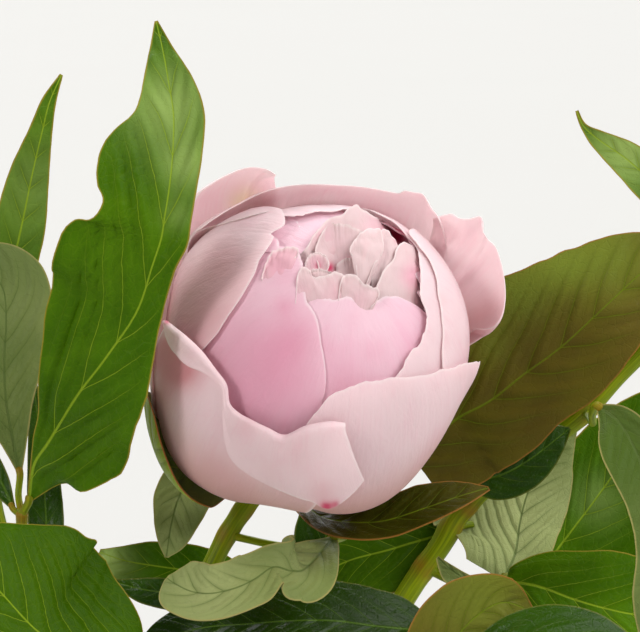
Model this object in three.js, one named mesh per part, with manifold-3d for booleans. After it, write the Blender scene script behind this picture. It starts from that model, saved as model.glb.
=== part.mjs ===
// A half-open double peony with its leaves, standing in a plain bud vase. Millimetres, +Z up.
// The origin is the centre of the vase's foot. The bloom looks towards -Y, upwards and a little to +X.
import * as THREE from 'three';
import { mergeVertices } from 'three/addons/utils/BufferGeometryUtils.js';
import Module from 'manifold-3d';

// ---- driving dimensions ----
const VASE_HEIGHT = 150;
const VASE_BELLY_RADIUS = 41;
const VASE_FOOT_RADIUS = 31;
const VASE_NECK_RADIUS = 14;
const VASE_LIP_RADIUS = 19;
const VASE_WALL = 3.5;
const VASE_FLOOR = 6;

const BLOOM_RADIUS = 47.6;
const LAYER_STEP = 1.35;
const BLOOM_CENTRE = new THREE.Vector3(30, -22, 328);
const BLOOM_RISE = THREE.MathUtils.degToRad(43.4);
const BLOOM_TURN = THREE.MathUtils.degToRad(16.1);
const STALK_RING = 8.2;

const RECEPTACLE_RADIUS = 7.5;
const DISC_RADIUS = 15.5;
const PETAL_THICKNESS = 0.5;
const LEAF_THICKNESS = 0.6;
const FLOWER_STEM_RADIUS = 3;
const LEAFY_STEM_RADIUS = 3.5;
const JOINT_GAP = 0.7;
const TUBE_STEP = 15;

// ---- the front view, which the leaves and the stems are laid out in ----
const VIEW_FALL = THREE.MathUtils.degToRad(10);
const VIEW_DISTANCE = 900;
const VIEW_LIFT = 9.9;
const RIGHT = new THREE.Vector3(1, 0, 0);
const UP = new THREE.Vector3(0, Math.sin(VIEW_FALL), Math.cos(VIEW_FALL));
const AWAY = new THREE.Vector3(0, Math.cos(VIEW_FALL), -Math.sin(VIEW_FALL));
const VIEW_CENTRE = BLOOM_CENTRE.clone().addScaledVector(UP, VIEW_LIFT);

// A point seen `right` and `up` of the view's centre, `away` behind the bloom's centre.
function seen([right, up, away]) {
  const spread = 1 + away / VIEW_DISTANCE;
  return VIEW_CENTRE.clone()
    .addScaledVector(RIGHT, right * spread)
    .addScaledVector(UP, up * spread)
    .addScaledVector(AWAY, away);
}

// ---- the bloom's own axes ----
const BLOOM_AXIS = new THREE.Vector3(
  Math.cos(BLOOM_RISE) * Math.sin(BLOOM_TURN),
  -Math.cos(BLOOM_RISE) * Math.cos(BLOOM_TURN),
  Math.sin(BLOOM_RISE),
);
const BLOOM_SIDE = new THREE.Vector3(0, 0, 1).cross(BLOOM_AXIS).normalize();
const BLOOM_FRONT = BLOOM_SIDE.clone().cross(BLOOM_AXIS);

// Where the bloom is fuller or slimmer than a ball: direction in the front view in degrees above +X,
// how wide the change is in degrees, and its share of the radius.
const SWELLS = [[-137, 24, 0.12], [-28, 34, -0.07], [-71, 20, 0.05]];

// A point of the bloom: `around` its axis from the low front, `rise` from the stem's pole, in degrees.
function bloomPoint(around, rise, radius) {
  const a = THREE.MathUtils.degToRad(around);
  const r = THREE.MathUtils.degToRad(rise);
  const direction = BLOOM_AXIS.clone().multiplyScalar(-Math.cos(r))
    .addScaledVector(BLOOM_FRONT, Math.sin(r) * Math.cos(a))
    .addScaledVector(BLOOM_SIDE, Math.sin(r) * Math.sin(a));
  let swell = 1;
  for (const [angle, width, share] of SWELLS) {
    const towards = THREE.MathUtils.degToRad(angle);
    const centre = RIGHT.clone().multiplyScalar(Math.cos(towards)).addScaledVector(UP, Math.sin(towards));
    const apart = THREE.MathUtils.radToDeg(direction.angleTo(centre));
    swell += share * Math.exp(-((apart / width) ** 2));
  }
  return BLOOM_CENTRE.clone().addScaledVector(direction, radius * swell);
}

// ---- materials ----
function finish(colour, roughness) {
  return new THREE.MeshStandardMaterial({
    color: colour,
    roughness,
    metalness: 0,
    side: THREE.DoubleSide,
  });
}
const GLAZE = () => finish(0xe9e4da, 0.3);
const STEM_GREEN = () => finish(0x87932f, 0.5);
const SEPAL_GREEN = () => finish(0x66772c, 0.5);
const PALE_PINK = () => finish(0xf0cfd6, 0.6);
const ROSE_PINK = () => finish(0xe4a3bd, 0.6);
const CREAM_PINK = () => finish(0xf4dde0, 0.6);
const LEAF_COLOURS = {
  green: () => finish(0x3f6f1f, 0.4),
  dark: () => finish(0x24421c, 0.35),
  pale: () => finish(0x9fab84, 0.55),
  bronze: () => finish(0x5f5a2c, 0.45),
};

// ---- small helpers ----
const mix = THREE.MathUtils.lerp;
const smooth = THREE.MathUtils.smoothstep;

// The value at `t` (0 to 1) on a smooth curve through evenly spaced rows of numbers.
function along(rows, t) {
  const last = rows.length - 1;
  const i = Math.min(Math.floor(t * last), last - 1);
  const f = t * last - i;
  const at = (k) => rows[THREE.MathUtils.clamp(k, 0, last)];
  return rows[0].map((_, n) => {
    const [p, q, r, s] = [at(i - 1)[n], at(i)[n], at(i + 1)[n], at(i + 2)[n]];
    const bend = 2 * p - 5 * q + 4 * r - s + (3 * q - p - 3 * r + s) * f;
    return q + 0.5 * f * (r - p + f * bend);
  });
}

// A thin closed solid around a grid of points: rows run from base to rim, columns from side to side.
function sheet(grid, thickness) {
  const rows = grid.length;
  const columns = grid[0].length;
  const clampRow = (i) => THREE.MathUtils.clamp(i, 0, rows - 1);
  const clampColumn = (j) => THREE.MathUtils.clamp(j, 0, columns - 1);
  const positions = [];
  for (const side of [0.5, -0.5]) {
    for (let i = 0; i < rows; i++) {
      for (let j = 0; j < columns; j++) {
        const lengthwise = grid[clampRow(i + 1)][j].clone().sub(grid[clampRow(i - 1)][j]);
        const crosswise = grid[i][clampColumn(j + 1)].clone().sub(grid[i][clampColumn(j - 1)]);
        const normal = crosswise.cross(lengthwise).normalize();
        const p = grid[i][j].clone().addScaledVector(normal, side * thickness);
        positions.push(p.x, p.y, p.z);
      }
    }
  }
  const top = (i, j) => i * columns + j;
  const bottom = (i, j) => rows * columns + i * columns + j;
  const faces = [];
  const quad = (a, b, c, d) => faces.push(a, b, c, a, c, d);
  for (let i = 0; i < rows - 1; i++) {
    for (let j = 0; j < columns - 1; j++) {
      quad(top(i, j), top(i, j + 1), top(i + 1, j + 1), top(i + 1, j));
      quad(bottom(i, j), bottom(i + 1, j), bottom(i + 1, j + 1), bottom(i, j + 1));
    }
  }
  for (let j = 0; j < columns - 1; j++) {
    quad(top(0, j), bottom(0, j), bottom(0, j + 1), top(0, j + 1));
    quad(top(rows - 1, j + 1), bottom(rows - 1, j + 1), bottom(rows - 1, j), top(rows - 1, j));
  }
  for (let i = 0; i < rows - 1; i++) {
    quad(top(i + 1, 0), bottom(i + 1, 0), bottom(i, 0), top(i, 0));
    quad(top(i, columns - 1), bottom(i, columns - 1), bottom(i + 1, columns - 1), top(i + 1, columns - 1));
  }
  const geometry = new THREE.BufferGeometry();
  geometry.setAttribute('position', new THREE.Float32BufferAttribute(positions, 3));
  geometry.setIndex(faces);
  return geometry;
}

// ---- solids to join ----
const wasm = await Module();
wasm.setup();

function toSolid(geometry) {
  const bare = geometry.clone();
  bare.deleteAttribute('normal');
  bare.deleteAttribute('uv');
  const merged = mergeVertices(bare, 1e-3);
  return new wasm.Manifold(
    new wasm.Mesh({
      numProp: 3,
      vertProperties: merged.attributes.position.array,
      triVerts: new Uint32Array(merged.index.array),
    }),
  );
}

function toGeometry(solid) {
  const mesh = solid.getMesh();
  const geometry = new THREE.BufferGeometry();
  geometry.setAttribute('position', new THREE.Float32BufferAttribute(mesh.vertProperties, 3));
  geometry.setIndex(new THREE.BufferAttribute(mesh.triVerts, 1));
  return geometry;
}

// ---- the vase ----
function vase() {
  const outer = [
    [0, 0],
    [VASE_FOOT_RADIUS, 0],
    [VASE_FOOT_RADIUS + 1.2, 1.6],
    [36, 12],
    [39.6, 26],
    [VASE_BELLY_RADIUS, 42],
    [39.8, 58],
    [36, 73],
    [30, 86],
    [23.8, 97],
    [19.4, 108],
    [VASE_NECK_RADIUS + VASE_WALL, 120],
    [VASE_NECK_RADIUS + VASE_WALL - 0.3, 132],
    [VASE_LIP_RADIUS - 0.8, 145],
    [VASE_LIP_RADIUS, VASE_HEIGHT - 1.2],
    [VASE_LIP_RADIUS - 1.3, VASE_HEIGHT],
  ];
  const inner = [
    [16.4, VASE_HEIGHT - 1],
    [VASE_NECK_RADIUS + 0.6, 141],
    [VASE_NECK_RADIUS, 128],
    [VASE_NECK_RADIUS + 1, 114],
    [18.4, 103],
    [24.2, 91],
    [31, 77],
    [36, 60],
    [VASE_BELLY_RADIUS - VASE_WALL, 42],
    [35.8, 26],
    [31, 13],
    [26, VASE_FLOOR + 1.5],
    [20, VASE_FLOOR],
    [0, VASE_FLOOR],
  ];
  const profile = [...outer, ...inner].map(([r, z]) => new THREE.Vector2(r, z));
  const mesh = new THREE.Mesh(new THREE.LatheGeometry(profile, 32), GLAZE());
  mesh.name = 'bud_vase';
  mesh.rotation.x = Math.PI / 2;
  return mesh;
}

// ---- the receptacle, turned about the bloom's axis ----
function receptacle() {
  const profile = [
    [0, -50.5],
    [4.2, -50.5],
    [RECEPTACLE_RADIUS, -48],
    [RECEPTACLE_RADIUS - 1, -38.5],
    [10, -35.2],
    [DISC_RADIUS, -32.4],
    [DISC_RADIUS - 0.6, -31.2],
    [0, -31.2],
  ].map(([r, h]) => new THREE.Vector2(r, h));
  const mesh = new THREE.Mesh(new THREE.LatheGeometry(profile, 20), SEPAL_GREEN());
  mesh.name = 'receptacle';
  mesh.position.copy(BLOOM_CENTRE);
  mesh.quaternion.setFromUnitVectors(new THREE.Vector3(0, 1, 0), BLOOM_AXIS);
  return mesh;
}

// ---- petals and sepals: shells on nested spheres, which fan out from the stalk's ring ----
// layer: how many layers it lies inside the outermost whole one. base: [middle, half width] around the axis
// where it starts, in degrees. rim: [around, rise, flare beyond the layer] from one side to the other.
const PETALS = {
  guard_petal_front_right: {
    layer: 1, base: [25, 28],
    rim: [[-25, 110, 0], [-21, 123, 0], [-15, 131, 0], [-2, 136, 0], [10, 136, 0.1], [26, 133.5, 0.2],
      [44, 129, 0.4], [58, 121, 0.8], [78, 103, 0.6]],
  },
  guard_petal_left: {
    layer: -1.1, base: [-108, 12],
    rim: [[-134, 82, 0], [-126, 96, 0.4], [-114, 100, 0.4], [-102, 97, 0.2], [-92, 88, 0], [-84, 72, 0]],
  },
  guard_petal_back_left: {
    layer: -1, base: [-153, 12],
    rim: [[-170, 104, 1.9], [-167, 117, 4.9], [-162, 123, 6.4], [-155, 121, 7.9], [-147, 115, 8.4],
      [-140, 109, 7.4], [-137, 96, 3.4]],
  },
  guard_petal_back_low: {
    layer: 0, base: [158, 14],
    rim: [[130, 84, 2], [137, 96, 4.5], [148, 101, 5.5], [160, 102, 6], [172, 100, 5.5], [181, 94, 4.5],
      [186, 82, 2]],
  },
  guard_petal_right: {
    layer: -1, base: [95, 18],
    rim: [[64, 96, 0.5], [68, 111, 1.5], [74, 117, 2.5], [82, 113, 4.5], [90, 113, 7], [98, 117, 9.5],
      [106, 120, 10.5], [114, 122, 10], [121, 122, 7.5], [125, 108, 2.5]],
  },
  guard_petal_back: {
    layer: 1, base: [158, 20],
    rim: [[119, 110, 1.9], [125, 125, 4.9], [133, 127, 6], [143, 129, 5], [156, 129, 3.5],
      [170, 128.5, 2.4], [182, 128, 1.9], [191, 122, 1.9], [197, 108, 1]],
  },
  shaded_petal_left: {
    layer: 2, base: [-115, 18],
    rim: [[-155, 125, 0], [-151, 139, 0], [-141, 149, 0], [-129, 149, 0], [-117, 148, 0], [-106, 144, 0],
      [-91, 140, 0], [-83, 127, 0], [-79, 113, 0]],
  },
  folded_petal_right: {
    layer: 2, base: [88, 20],
    rim: [[43, 108, 0], [47, 127, 0], [60, 136, 0.2], [78, 142, 0.4], [99, 142, 0.6], [115, 143, 0.6],
      [127, 140, 0.4], [130, 122, 0]],
  },
  opening_petal_right: {
    layer: 3.3, base: [105, 24],
    rim: [[57, 128, 0], [58, 140, 0], [63, 147, 0], [76, 154, 0], [98, 150, 0], [118, 146, 0],
      [140, 141, 0], [154, 136, 0], [157, 124, 0]],
  },
  opening_petal_back: {
    layer: 3.6, base: [193, 16],
    rim: [[162, 128, 0], [163, 141, 0], [172, 142, 0], [184, 141, 0], [196, 141, 0], [205, 136, 0],
      [208, 124, 0]],
  },
  rose_petal_left: {
    layer: 4, base: [-60, 22],
    rim: [[-111, 122, 0], [-107, 136, 0], [-90, 145, 0], [-71, 146, 0], [-54, 155, 0], [-40, 154, 0],
      [-28, 147, 0], [-20, 136, 0], [-19, 124, 0], [-26, 111, 0]],
  },
  rose_petal_front: {
    layer: 5, base: [5, 24],
    rim: [[-55, 141, 0], [-56, 156, 0], [-38, 165, 0], [-6, 165, 0], [29, 165, 0], [53, 158, 0],
      [61, 146, 0], [60, 133, 0]],
  },
  ragged_petal_right: {
    layer: 5, base: [107, 15],
    rim: [[68, 136, 0], [73, 149, 0], [84, 153, 0], [96, 148, 0], [110, 152, 0], [126, 150, 0],
      [141, 146, 0], [145, 134, 0]],
  },
  core_petal_left: {
    layer: 6, base: [-90, 15],
    rim: [[-118, 138, 0], [-113, 152, 0], [-98, 151, 0], [-84, 147, 0], [-70, 150, 0], [-62, 138, 0]],
  },
  core_petal_back: {
    layer: 6, base: [200, 15],
    rim: [[166, 132, 0], [169, 145, 0], [185, 148, 0], [205, 149, 0], [224, 146, 0], [231, 134, 0]],
  },
  core_petal_front: {
    layer: 7, base: [0, 20],
    rim: [[-45, 136, 0], [-41, 149, 0], [-20, 158, 0], [5, 160, 0], [30, 158, 0], [46, 149, 0],
      [49, 137, 0]],
  },
};
const SEPALS = {
  sepal_left: {
    layer: -2.4, base: [-66, 14],
    rim: [[-90, 62, 0.3], [-84, 72, 1.3], [-76, 70, 2.3], [-66, 67, 2.6], [-55, 63, 2.1], [-46, 54, 0.8]],
  },
  sepal_right: {
    layer: -2, base: [92, 14],
    rim: [[72, 50, 0.3], [78, 62, 0.8], [90, 66, 1.8], [102, 62, 1.3], [110, 50, 0.3]],
  },
  sepal_back: {
    layer: -1.7, base: [150, 14],
    rim: [[130, 48, 0.3], [138, 60, 1.3], [150, 64, 2.3], [162, 60, 1.3], [170, 48, 0.3]],
  },
  sepal_back_left: {
    layer: -1.9, base: [-148, 14],
    rim: [[-168, 48, 0.3], [-160, 60, 1.3], [-148, 64, 2.3], [-136, 60, 1.3], [-128, 48, 0.3]],
  },
};
const FLARE_START = 0.5;

function shell({ layer, base: [middle, half], rim }, rows, columns, thickness) {
  const radius = BLOOM_RADIUS - layer * LAYER_STEP;
  const start = THREE.MathUtils.radToDeg(Math.asin(STALK_RING / radius));
  const grid = [];
  for (let i = 0; i <= rows; i++) {
    const u = i / rows;
    const spread = 1 - (1 - u) ** 2;
    const row = [];
    for (let j = 0; j <= columns; j++) {
      const v = j / columns;
      const [around, rise, flare] = along(rim, v);
      row.push(
        bloomPoint(
          mix(middle + half * (2 * v - 1), around, spread),
          mix(start, rise, u),
          radius + flare * smooth(u, FLARE_START, 1),
        ),
      );
    }
    grid.push(row);
  }
  return sheet(grid, thickness);
}

// ---- the front left guard petal, whose rim folds over outwards into a wide lapel ----
// crease: where it folds. lapel: the folded edge. Both are [around, rise, flare], as a rim is.
const LAPEL_PETAL = {
  base: [-46, 24],
  crease: [[-97, 102, 0.6], [-77, 114, 0.6], [-62, 116, 0.4], [-53, 111, 0.2], [-42, 110.5, 0.2],
    [-30, 111.5, 0.4], [-20, 117, 0.6], [-9, 119.5, 0.6], [2, 106, 0.4]],
  lapel: [[-97, 99, 2.6], [-78, 107, 2.6], [-64, 108, 2.6], [-52, 99, 3], [-38, 85, 4.4], [-27, 79.5, 5],
    [-17, 78, 4.8], [-7, 76, 4], [5, 90, 2.4]],
};
const LAPEL_ROLL = 1.7;

function lapelPetal(rows, columns) {
  const { base: [middle, half], crease, lapel } = LAPEL_PETAL;
  const start = THREE.MathUtils.radToDeg(Math.asin(STALK_RING / BLOOM_RADIUS));
  const foldRows = 2;
  const grid = [];
  for (let i = 0; i <= rows + 1 + foldRows; i++) {
    const u = Math.min(i / rows, 1);
    const spread = 1 - (1 - u) ** 2;
    const fold = (i - rows - 1) / foldRows;
    const row = [];
    for (let j = 0; j <= columns; j++) {
      const v = j / columns;
      const [around, rise, flare] = along(crease, v);
      const [lapelAround, lapelRise, lapelFlare] = along(lapel, v);
      if (i <= rows) {
        const beside = mix(middle + half * (2 * v - 1), around, spread);
        row.push(bloomPoint(beside, mix(start, rise, u), BLOOM_RADIUS + flare * u));
      } else {
        const out = Math.max(mix(flare, lapelFlare, fold), flare + LAPEL_ROLL);
        row.push(bloomPoint(mix(around, lapelAround, fold), mix(rise, lapelRise, fold), BLOOM_RADIUS + out));
      }
    }
    grid.push(row);
  }
  return sheet(grid, PETAL_THICKNESS);
}

// ---- the small petals of the opening: strips that stand on the receptacle's disc in rings ----
// [distance from the axis, middle and half width around it in degrees, height of the middle and of the ends]
const CENTRE_PETALS = [
  [3.6, 20, 62, 35, 33],
  [3.6, 200, 62, 36, 34],
  [8, -40, 52, 35, 33],
  [8, 80, 52, 36, 34],
  [8, 200, 52, 35, 33],
  [12.8, 50, 40, 34, 33],
  [12.8, 140, 40, 35, 33],
  [12.8, 230, 40, 35, 33],
  [17.4, 95, 34, 32.5, 31],
  [17.4, 175, 36, 33, 31],
  [17.4, 255, 34, 32.5, 31],
];
const CENTRE_PETAL_FOOT = -30.6;
const CENTRE_PETAL_WAIST = 0.78;

function centrePetal([distance, middle, half, top, ends]) {
  const rows = 4;
  const columns = 5;
  const grid = [];
  for (let i = 0; i <= rows; i++) {
    const u = i / rows;
    const row = [];
    for (let j = 0; j <= columns; j++) {
      const v = (2 * j) / columns - 1;
      const around = THREE.MathUtils.degToRad(middle + half * v * mix(0.3, 1, smooth(u, 0, 0.6)));
      const height = mix(CENTRE_PETAL_FOOT, mix(top, ends, v * v), u);
      const reach = distance * mix(CENTRE_PETAL_WAIST, 1, smooth(u, 0, 0.5));
      row.push(
        BLOOM_CENTRE.clone()
          .addScaledVector(BLOOM_AXIS, height)
          .addScaledVector(BLOOM_FRONT, reach * Math.cos(around))
          .addScaledVector(BLOOM_SIDE, reach * Math.sin(around)),
      );
    }
    grid.push(row);
  }
  return sheet(grid, PETAL_THICKNESS);
}

// ---- leaves ----
// rib: [right, up, away] from base to tip. left, right: the half widths seen from the front, along the rib.
// roll: degrees that the blade turns about its rib, right half away. cup: how far the margins come forward.
const LEAVES = {
  leaf_upright: {
    colour: 'green', rows: 16, roll: 0, cup: 0.1,
    rib: [[-84.5, -54, 2], [-83, -43.5, -4], [-79, -37, -10], [-75, -30.5, -16], [-70, -22.5, -23],
      [-62, -12, -30], [-53, 1.5, -36], [-48.5, 15, -41], [-46, 22.5, -43], [-45, 29, -44],
      [-44, 35, -44], [-43, 43, -43], [-42.5, 51, -41], [-42.5, 59, -38], [-44, 68.5, -34],
      [-45.5, 77, -29], [-47.5, 85.5, -23]],
    left: [0.5, 1, 4.5, 7.5, 13, 20.5, 26, 26.5, 22.5, 17.5, 19.5, 20.5, 17.5, 11, 7, 4, 0.5],
    right: [0.5, 11.5, 19, 22.5, 20, 15.5, 7.5, 6.5, 7.5, 7.5, 7.5, 8, 8.5, 8.5, 6.5, 3, 0.5],
  },
  leaf_left: {
    colour: 'pale', rows: 8, roll: 0, cup: 0.1,
    rib: [[-87, -46, 9], [-89, -36, 12], [-91, -24.5, 14], [-91.5, -13, 16], [-91, -1, 18], [-92, 8, 21],
      [-96.5, 13, 26], [-103, 10.5, 34]],
    left: [0.5, 4, 10, 13.5, 14.5, 13.5, 8.5, 0.5],
    right: [0.5, 4.5, 8.5, 12, 13.5, 13.5, 8.5, 0.5],
  },
  leaf_left_small: {
    colour: 'dark', rows: 6, roll: 0, cup: 0.1,
    rib: [[-89, -56, 6], [-92, -49, 10], [-96, -43, 15], [-101, -36.5, 22], [-108, -30, 27],
      [-116, -26, 32]],
    left: [0.5, 4, 6, 7, 6, 0.5],
    right: [0.5, 2.5, 4, 5, 4, 0.5],
  },
  leaf_back_left: {
    colour: 'green', rows: 7, roll: 15, cup: 0.1,
    rib: [[-92, -4, 58], [-90, 10.5, 56], [-86.5, 26.5, 54], [-83.5, 41, 52], [-80.5, 54, 50],
      [-78.5, 62, 50], [-75, 70, 52]],
    left: [0.5, 6, 8, 7, 4, 2.5, 0.5],
    right: [0.5, 6.5, 7, 5, 3, 2, 0.5],
  },
  leaf_back_strip: {
    colour: 'dark', rows: 6, roll: 0, cup: 0.1,
    rib: [[-75.5, -89.5, 38], [-78.5, -73.5, 42], [-79.5, -57.5, 44], [-80.5, -42, 44], [-82, -28.5, 42],
      [-83, -18.5, 40]],
    left: [0.5, 4.5, 5.5, 4.5, 2.5, 0.5],
    right: [0.5, 4.5, 5.5, 4.5, 2.5, 0.5],
  },
  leaf_low_left: {
    colour: 'green', rows: 8, roll: 32, cup: 0,
    rib: [[-53.5, -113, -4], [-62.5, -103, -14], [-72.5, -97, -20], [-82.5, -91, -24], [-93, -80, -26],
      [-101.5, -71, -26], [-111, -65, -22]],
    left: [1, 13, 20.5, 23, 22, 13, 0.5],
    right: [1, 17.5, 25.5, 28, 24.5, 14, 0.5],
  },
  leaf_curled: {
    colour: 'pale', rows: 10, roll: 25, cup: 0.15,
    rib: [[4.5, -64, 22], [0.5, -68.5, 13], [-4.5, -73.5, 4], [-8.5, -74, -1], [-13.5, -73, -5],
      [-19, -76.5, -8], [-24.5, -79, -10], [-31.5, -80.5, -10], [-37, -80, -8], [-41.5, -78, -6],
      [-44.5, -76, -4]],
    left: [0.5, 5, 9, 8.5, 5.5, 7.5, 7.5, 8, 8, 7, 1],
    right: [0.5, 5, 9.5, 9, 6, 7.5, 7.5, 7.5, 8, 7, 1],
  },
  leaf_withered: {
    colour: 'pale', rows: 6, roll: 0, cup: 0.2,
    rib: [[-33.5, -42.5, 45], [-37.5, -46, 38], [-41, -53, 32], [-43, -60, 28], [-44, -66, 27],
      [-44.5, -70, 28]],
    left: [0.5, 7, 9.5, 8, 5, 0.5],
    right: [0.5, 6, 7.5, 5.5, 3, 0.5],
  },
  leaf_broad_right: {
    colour: 'bronze', rows: 9, roll: 0, cup: -0.05,
    rib: [[26, -39.5, 52], [34, -34, 49], [41, -29, 47], [49.5, -24.5, 44], [59, -17, 41],
      [70.5, -8.5, 37], [84.5, 4.5, 34], [95, 14, 34], [107.5, 22, 37]],
    left: [1, 16, 24.5, 30.5, 31.5, 27.5, 20.5, 13, 0.5],
    right: [1, 13, 17, 19, 18.5, 18.5, 15, 10.5, 0.5],
  },
  leaf_under_right: {
    colour: 'dark', rows: 6, roll: 0, cup: 0,
    rib: [[41.5, -49, 52.5], [47.5, -47.5, 50.5], [54, -45.5, 48.5], [61, -41.5, 47],
      [67.5, -36.5, 46.5], [72.5, -32.5, 47]],
    left: [0.5, 6.5, 8.5, 8.5, 6.5, 0.5],
    right: [0.5, 6, 8, 7.5, 4.5, 0.5],
  },
  leaf_pale_right: {
    colour: 'pale', rows: 7, roll: 0, cup: 0,
    rib: [[56, -71.5, 60], [57.5, -66.5, 67], [58, -59.5, 73], [60.5, -50.5, 79], [66, -40.5, 83],
      [74, -32.5, 86]],
    left: [1, 13, 19, 17.5, 11.5, 1],
    right: [1, 9.5, 13, 13.5, 10, 1],
  },
  leaf_far_right: {
    colour: 'green', rows: 7, roll: 0, cup: 0.1,
    rib: [[57.5, -85.5, 100], [66.5, -71, 102], [78.5, -55, 102], [90, -39.5, 100], [100, -28, 99],
      [110, -18.5, 100]],
    left: [1, 11.5, 16, 14.5, 9.5, 0.5],
    right: [1, 11.5, 16, 15, 9.5, 0.5],
  },
  leaf_hanging_right: {
    colour: 'pale', rows: 8, roll: 0, cup: 0.15,
    rib: [[80.5, -26, 10], [86, -30, 4], [90, -36, 0], [93.5, -44, -3], [96.5, -55, -4], [97.5, -68, -3],
      [96.5, -82.5, 0], [94, -97, 6]],
    left: [0.5, 4.5, 7, 8, 8.5, 8.5, 6.5, 0.5],
    right: [0.5, 6.5, 9.5, 9.5, 7.5, 6, 6, 0.5],
  },
  leaf_low_right: {
    colour: 'green', rows: 7, roll: -25, cup: 0,
    rib: [[54, -77, 43], [63.5, -78.5, 39], [76, -83, 35], [90.5, -86.5, 32], [106, -87.5, 32],
      [120.5, -84, 36]],
    left: [1, 6, 14, 17, 14, 0.5],
    right: [1, 7, 14, 17, 14, 0.5],
  },
  leaf_small_pale: {
    colour: 'pale', rows: 4, roll: 0, cup: 0.1,
    rib: [[48, -77.5, 40], [43, -76.5, 38], [38.5, -74, 38], [34, -70, 40]],
    left: [0.5, 3.5, 4, 0.5],
    right: [0.5, 1.5, 1.5, 0.5],
  },
  leaf_olive_low: {
    colour: 'bronze', rows: 7, roll: 0, cup: 0.1,
    rib: [[32.5, -114.5, 6], [35, -103, 2], [39, -94, -2], [46, -86.5, -3], [53.5, -83, -2], [62, -86, 2]],
    left: [1, 7.5, 10.5, 11.5, 7, 0.5],
    right: [1, 8, 11.5, 12, 7, 0.5],
  },
  leaf_front_low_right: {
    colour: 'dark', rows: 7, roll: -35, cup: 0,
    rib: [[39, -108.5, -12], [52, -98.5, -18], [65.5, -95.5, -21], [78.5, -98.5, -21], [90, -105.5, -18],
      [100, -115.5, -12]],
    left: [1, 8, 10.5, 11, 8, 0.5],
    right: [1, 8, 11, 11, 8, 0.5],
  },
  leaf_glossy_low: {
    colour: 'dark', rows: 9, roll: 40, cup: 0,
    rib: [[35, -91.5, 28], [26, -91, 24], [16, -90, 19], [4.5, -88.5, 16], [-7, -88.5, 14],
      [-20.5, -89.5, 13], [-33.5, -90.5, 13], [-46.5, -94, 15], [-53, -97.5, 18]],
    left: [1, 8, 10, 11, 11, 10, 8, 4.5, 0.5],
    right: [1, 8, 10, 11, 11, 10, 8, 5, 0.5],
  },
  leaf_behind_stem: {
    colour: 'green', rows: 6, roll: 15, cup: 0,
    rib: [[39.5, -62.5, 70], [29.5, -65, 69], [19.5, -68, 69], [8.5, -71, 70], [0.5, -75, 72],
      [-6, -80, 76]],
    left: [0.5, 7, 9.5, 8.5, 6, 0.5],
    right: [0.5, 7, 9.5, 8.5, 6, 0.5],
  },
  leaf_back_low_left: {
    colour: 'green', rows: 6, roll: 15, cup: 0,
    rib: [[-17, -78, 62], [-27.5, -76, 63], [-37.5, -74, 64], [-48, -72.5, 65], [-56.5, -71, 66],
      [-64, -68.5, 70]],
    left: [0.5, 6.5, 8.5, 8.5, 6.5, 1],
    right: [0.5, 6.5, 8, 7.5, 5, 1],
  },
  leaf_dark_low_left: {
    colour: 'dark', rows: 5, roll: 25, cup: 0,
    rib: [[-24.5, -82, 34], [-33.5, -81.5, 32], [-42, -80.5, 30], [-51, -79.5, 28], [-60.5, -77, 30]],
    left: [0.5, 4, 5, 4, 0.5],
    right: [0.5, 3.5, 4, 3.5, 0.5],
  },
  leaf_back_centre: {
    colour: 'dark', rows: 6, roll: 0, cup: 0.1,
    rib: [[4, -86, 88], [1.5, -75, 87], [1.5, -65, 86], [4.5, -53.5, 84], [9.5, -43, 82]],
    left: [0.5, 8.5, 10, 8.5, 1],
    right: [0.5, 8.5, 10, 8.5, 1],
  },
  leaf_top_right: {
    colour: 'green', rows: 7, roll: 0, cup: 0.1,
    rib: [[113.5, 12, 44], [107.5, 25.5, 40], [98.5, 36.5, 38], [89.5, 45, 38], [81, 51, 40],
      [76.5, 55, 42], [74.5, 59.5, 44]],
    left: [0.5, 5, 6.5, 5.5, 3, 1, 0.5],
    right: [0.5, 5, 6.5, 5.5, 3, 1, 0.5],
  },
  bract: {
    colour: 'bronze', rows: 7, roll: -48, cup: 0,
    rib: [[-11, -49, 37], [-5, -54.5, 29], [1, -58.5, 20], [9, -60, 12], [19, -59.5, 8], [30.5, -56, 7],
      [40.5, -52.5, 8], [49, -50, 10]],
    left: [0.5, 2.5, 4, 5.5, 6, 6.5, 4.5, 0.5],
    right: [0.5, 2.5, 3.5, 4.5, 5, 4.5, 3, 0.5],
  },
};

// The rib's point, direction and the blade's sideways and facing directions at t, 0 at the base.
function ribFrame({ rib, roll }, t) {
  const step = 1e-3;
  const point = seen(along(rib, t));
  const before = seen(along(rib, Math.max(t - step, 0)));
  const after = seen(along(rib, Math.min(t + step, 1)));
  const tangent = after.sub(before).normalize();
  const facing = AWAY.clone().negate();
  facing.addScaledVector(tangent, -facing.dot(tangent)).normalize();
  const side = tangent.clone().cross(facing);
  const turn = THREE.MathUtils.degToRad(roll);
  return {
    point,
    tangent,
    side: side.clone().multiplyScalar(Math.cos(turn)).addScaledVector(facing, -Math.sin(turn)),
    facing: facing.clone().multiplyScalar(Math.cos(turn)).addScaledVector(side, Math.sin(turn)),
  };
}

function leafBlade(leaf) {
  const columns = 4;
  const lean = 1 / Math.cos(THREE.MathUtils.degToRad(leaf.roll));
  const grid = [];
  for (let i = 0; i <= leaf.rows; i++) {
    const t = i / leaf.rows;
    const { point, side, facing } = ribFrame(leaf, t);
    const [left] = along(leaf.left.map((w) => [w]), t);
    const [right] = along(leaf.right.map((w) => [w]), t);
    const row = [];
    for (let j = 0; j <= columns; j++) {
      const v = (2 * j) / columns - 1;
      const width = Math.max(v < 0 ? left : right, 0.4) * lean;
      row.push(
        point.clone()
          .addScaledVector(side, v * width)
          .addScaledVector(facing, leaf.cup * v * v * width),
      );
    }
    grid.push(row);
  }
  return sheet(grid, LEAF_THICKNESS);
}

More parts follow.
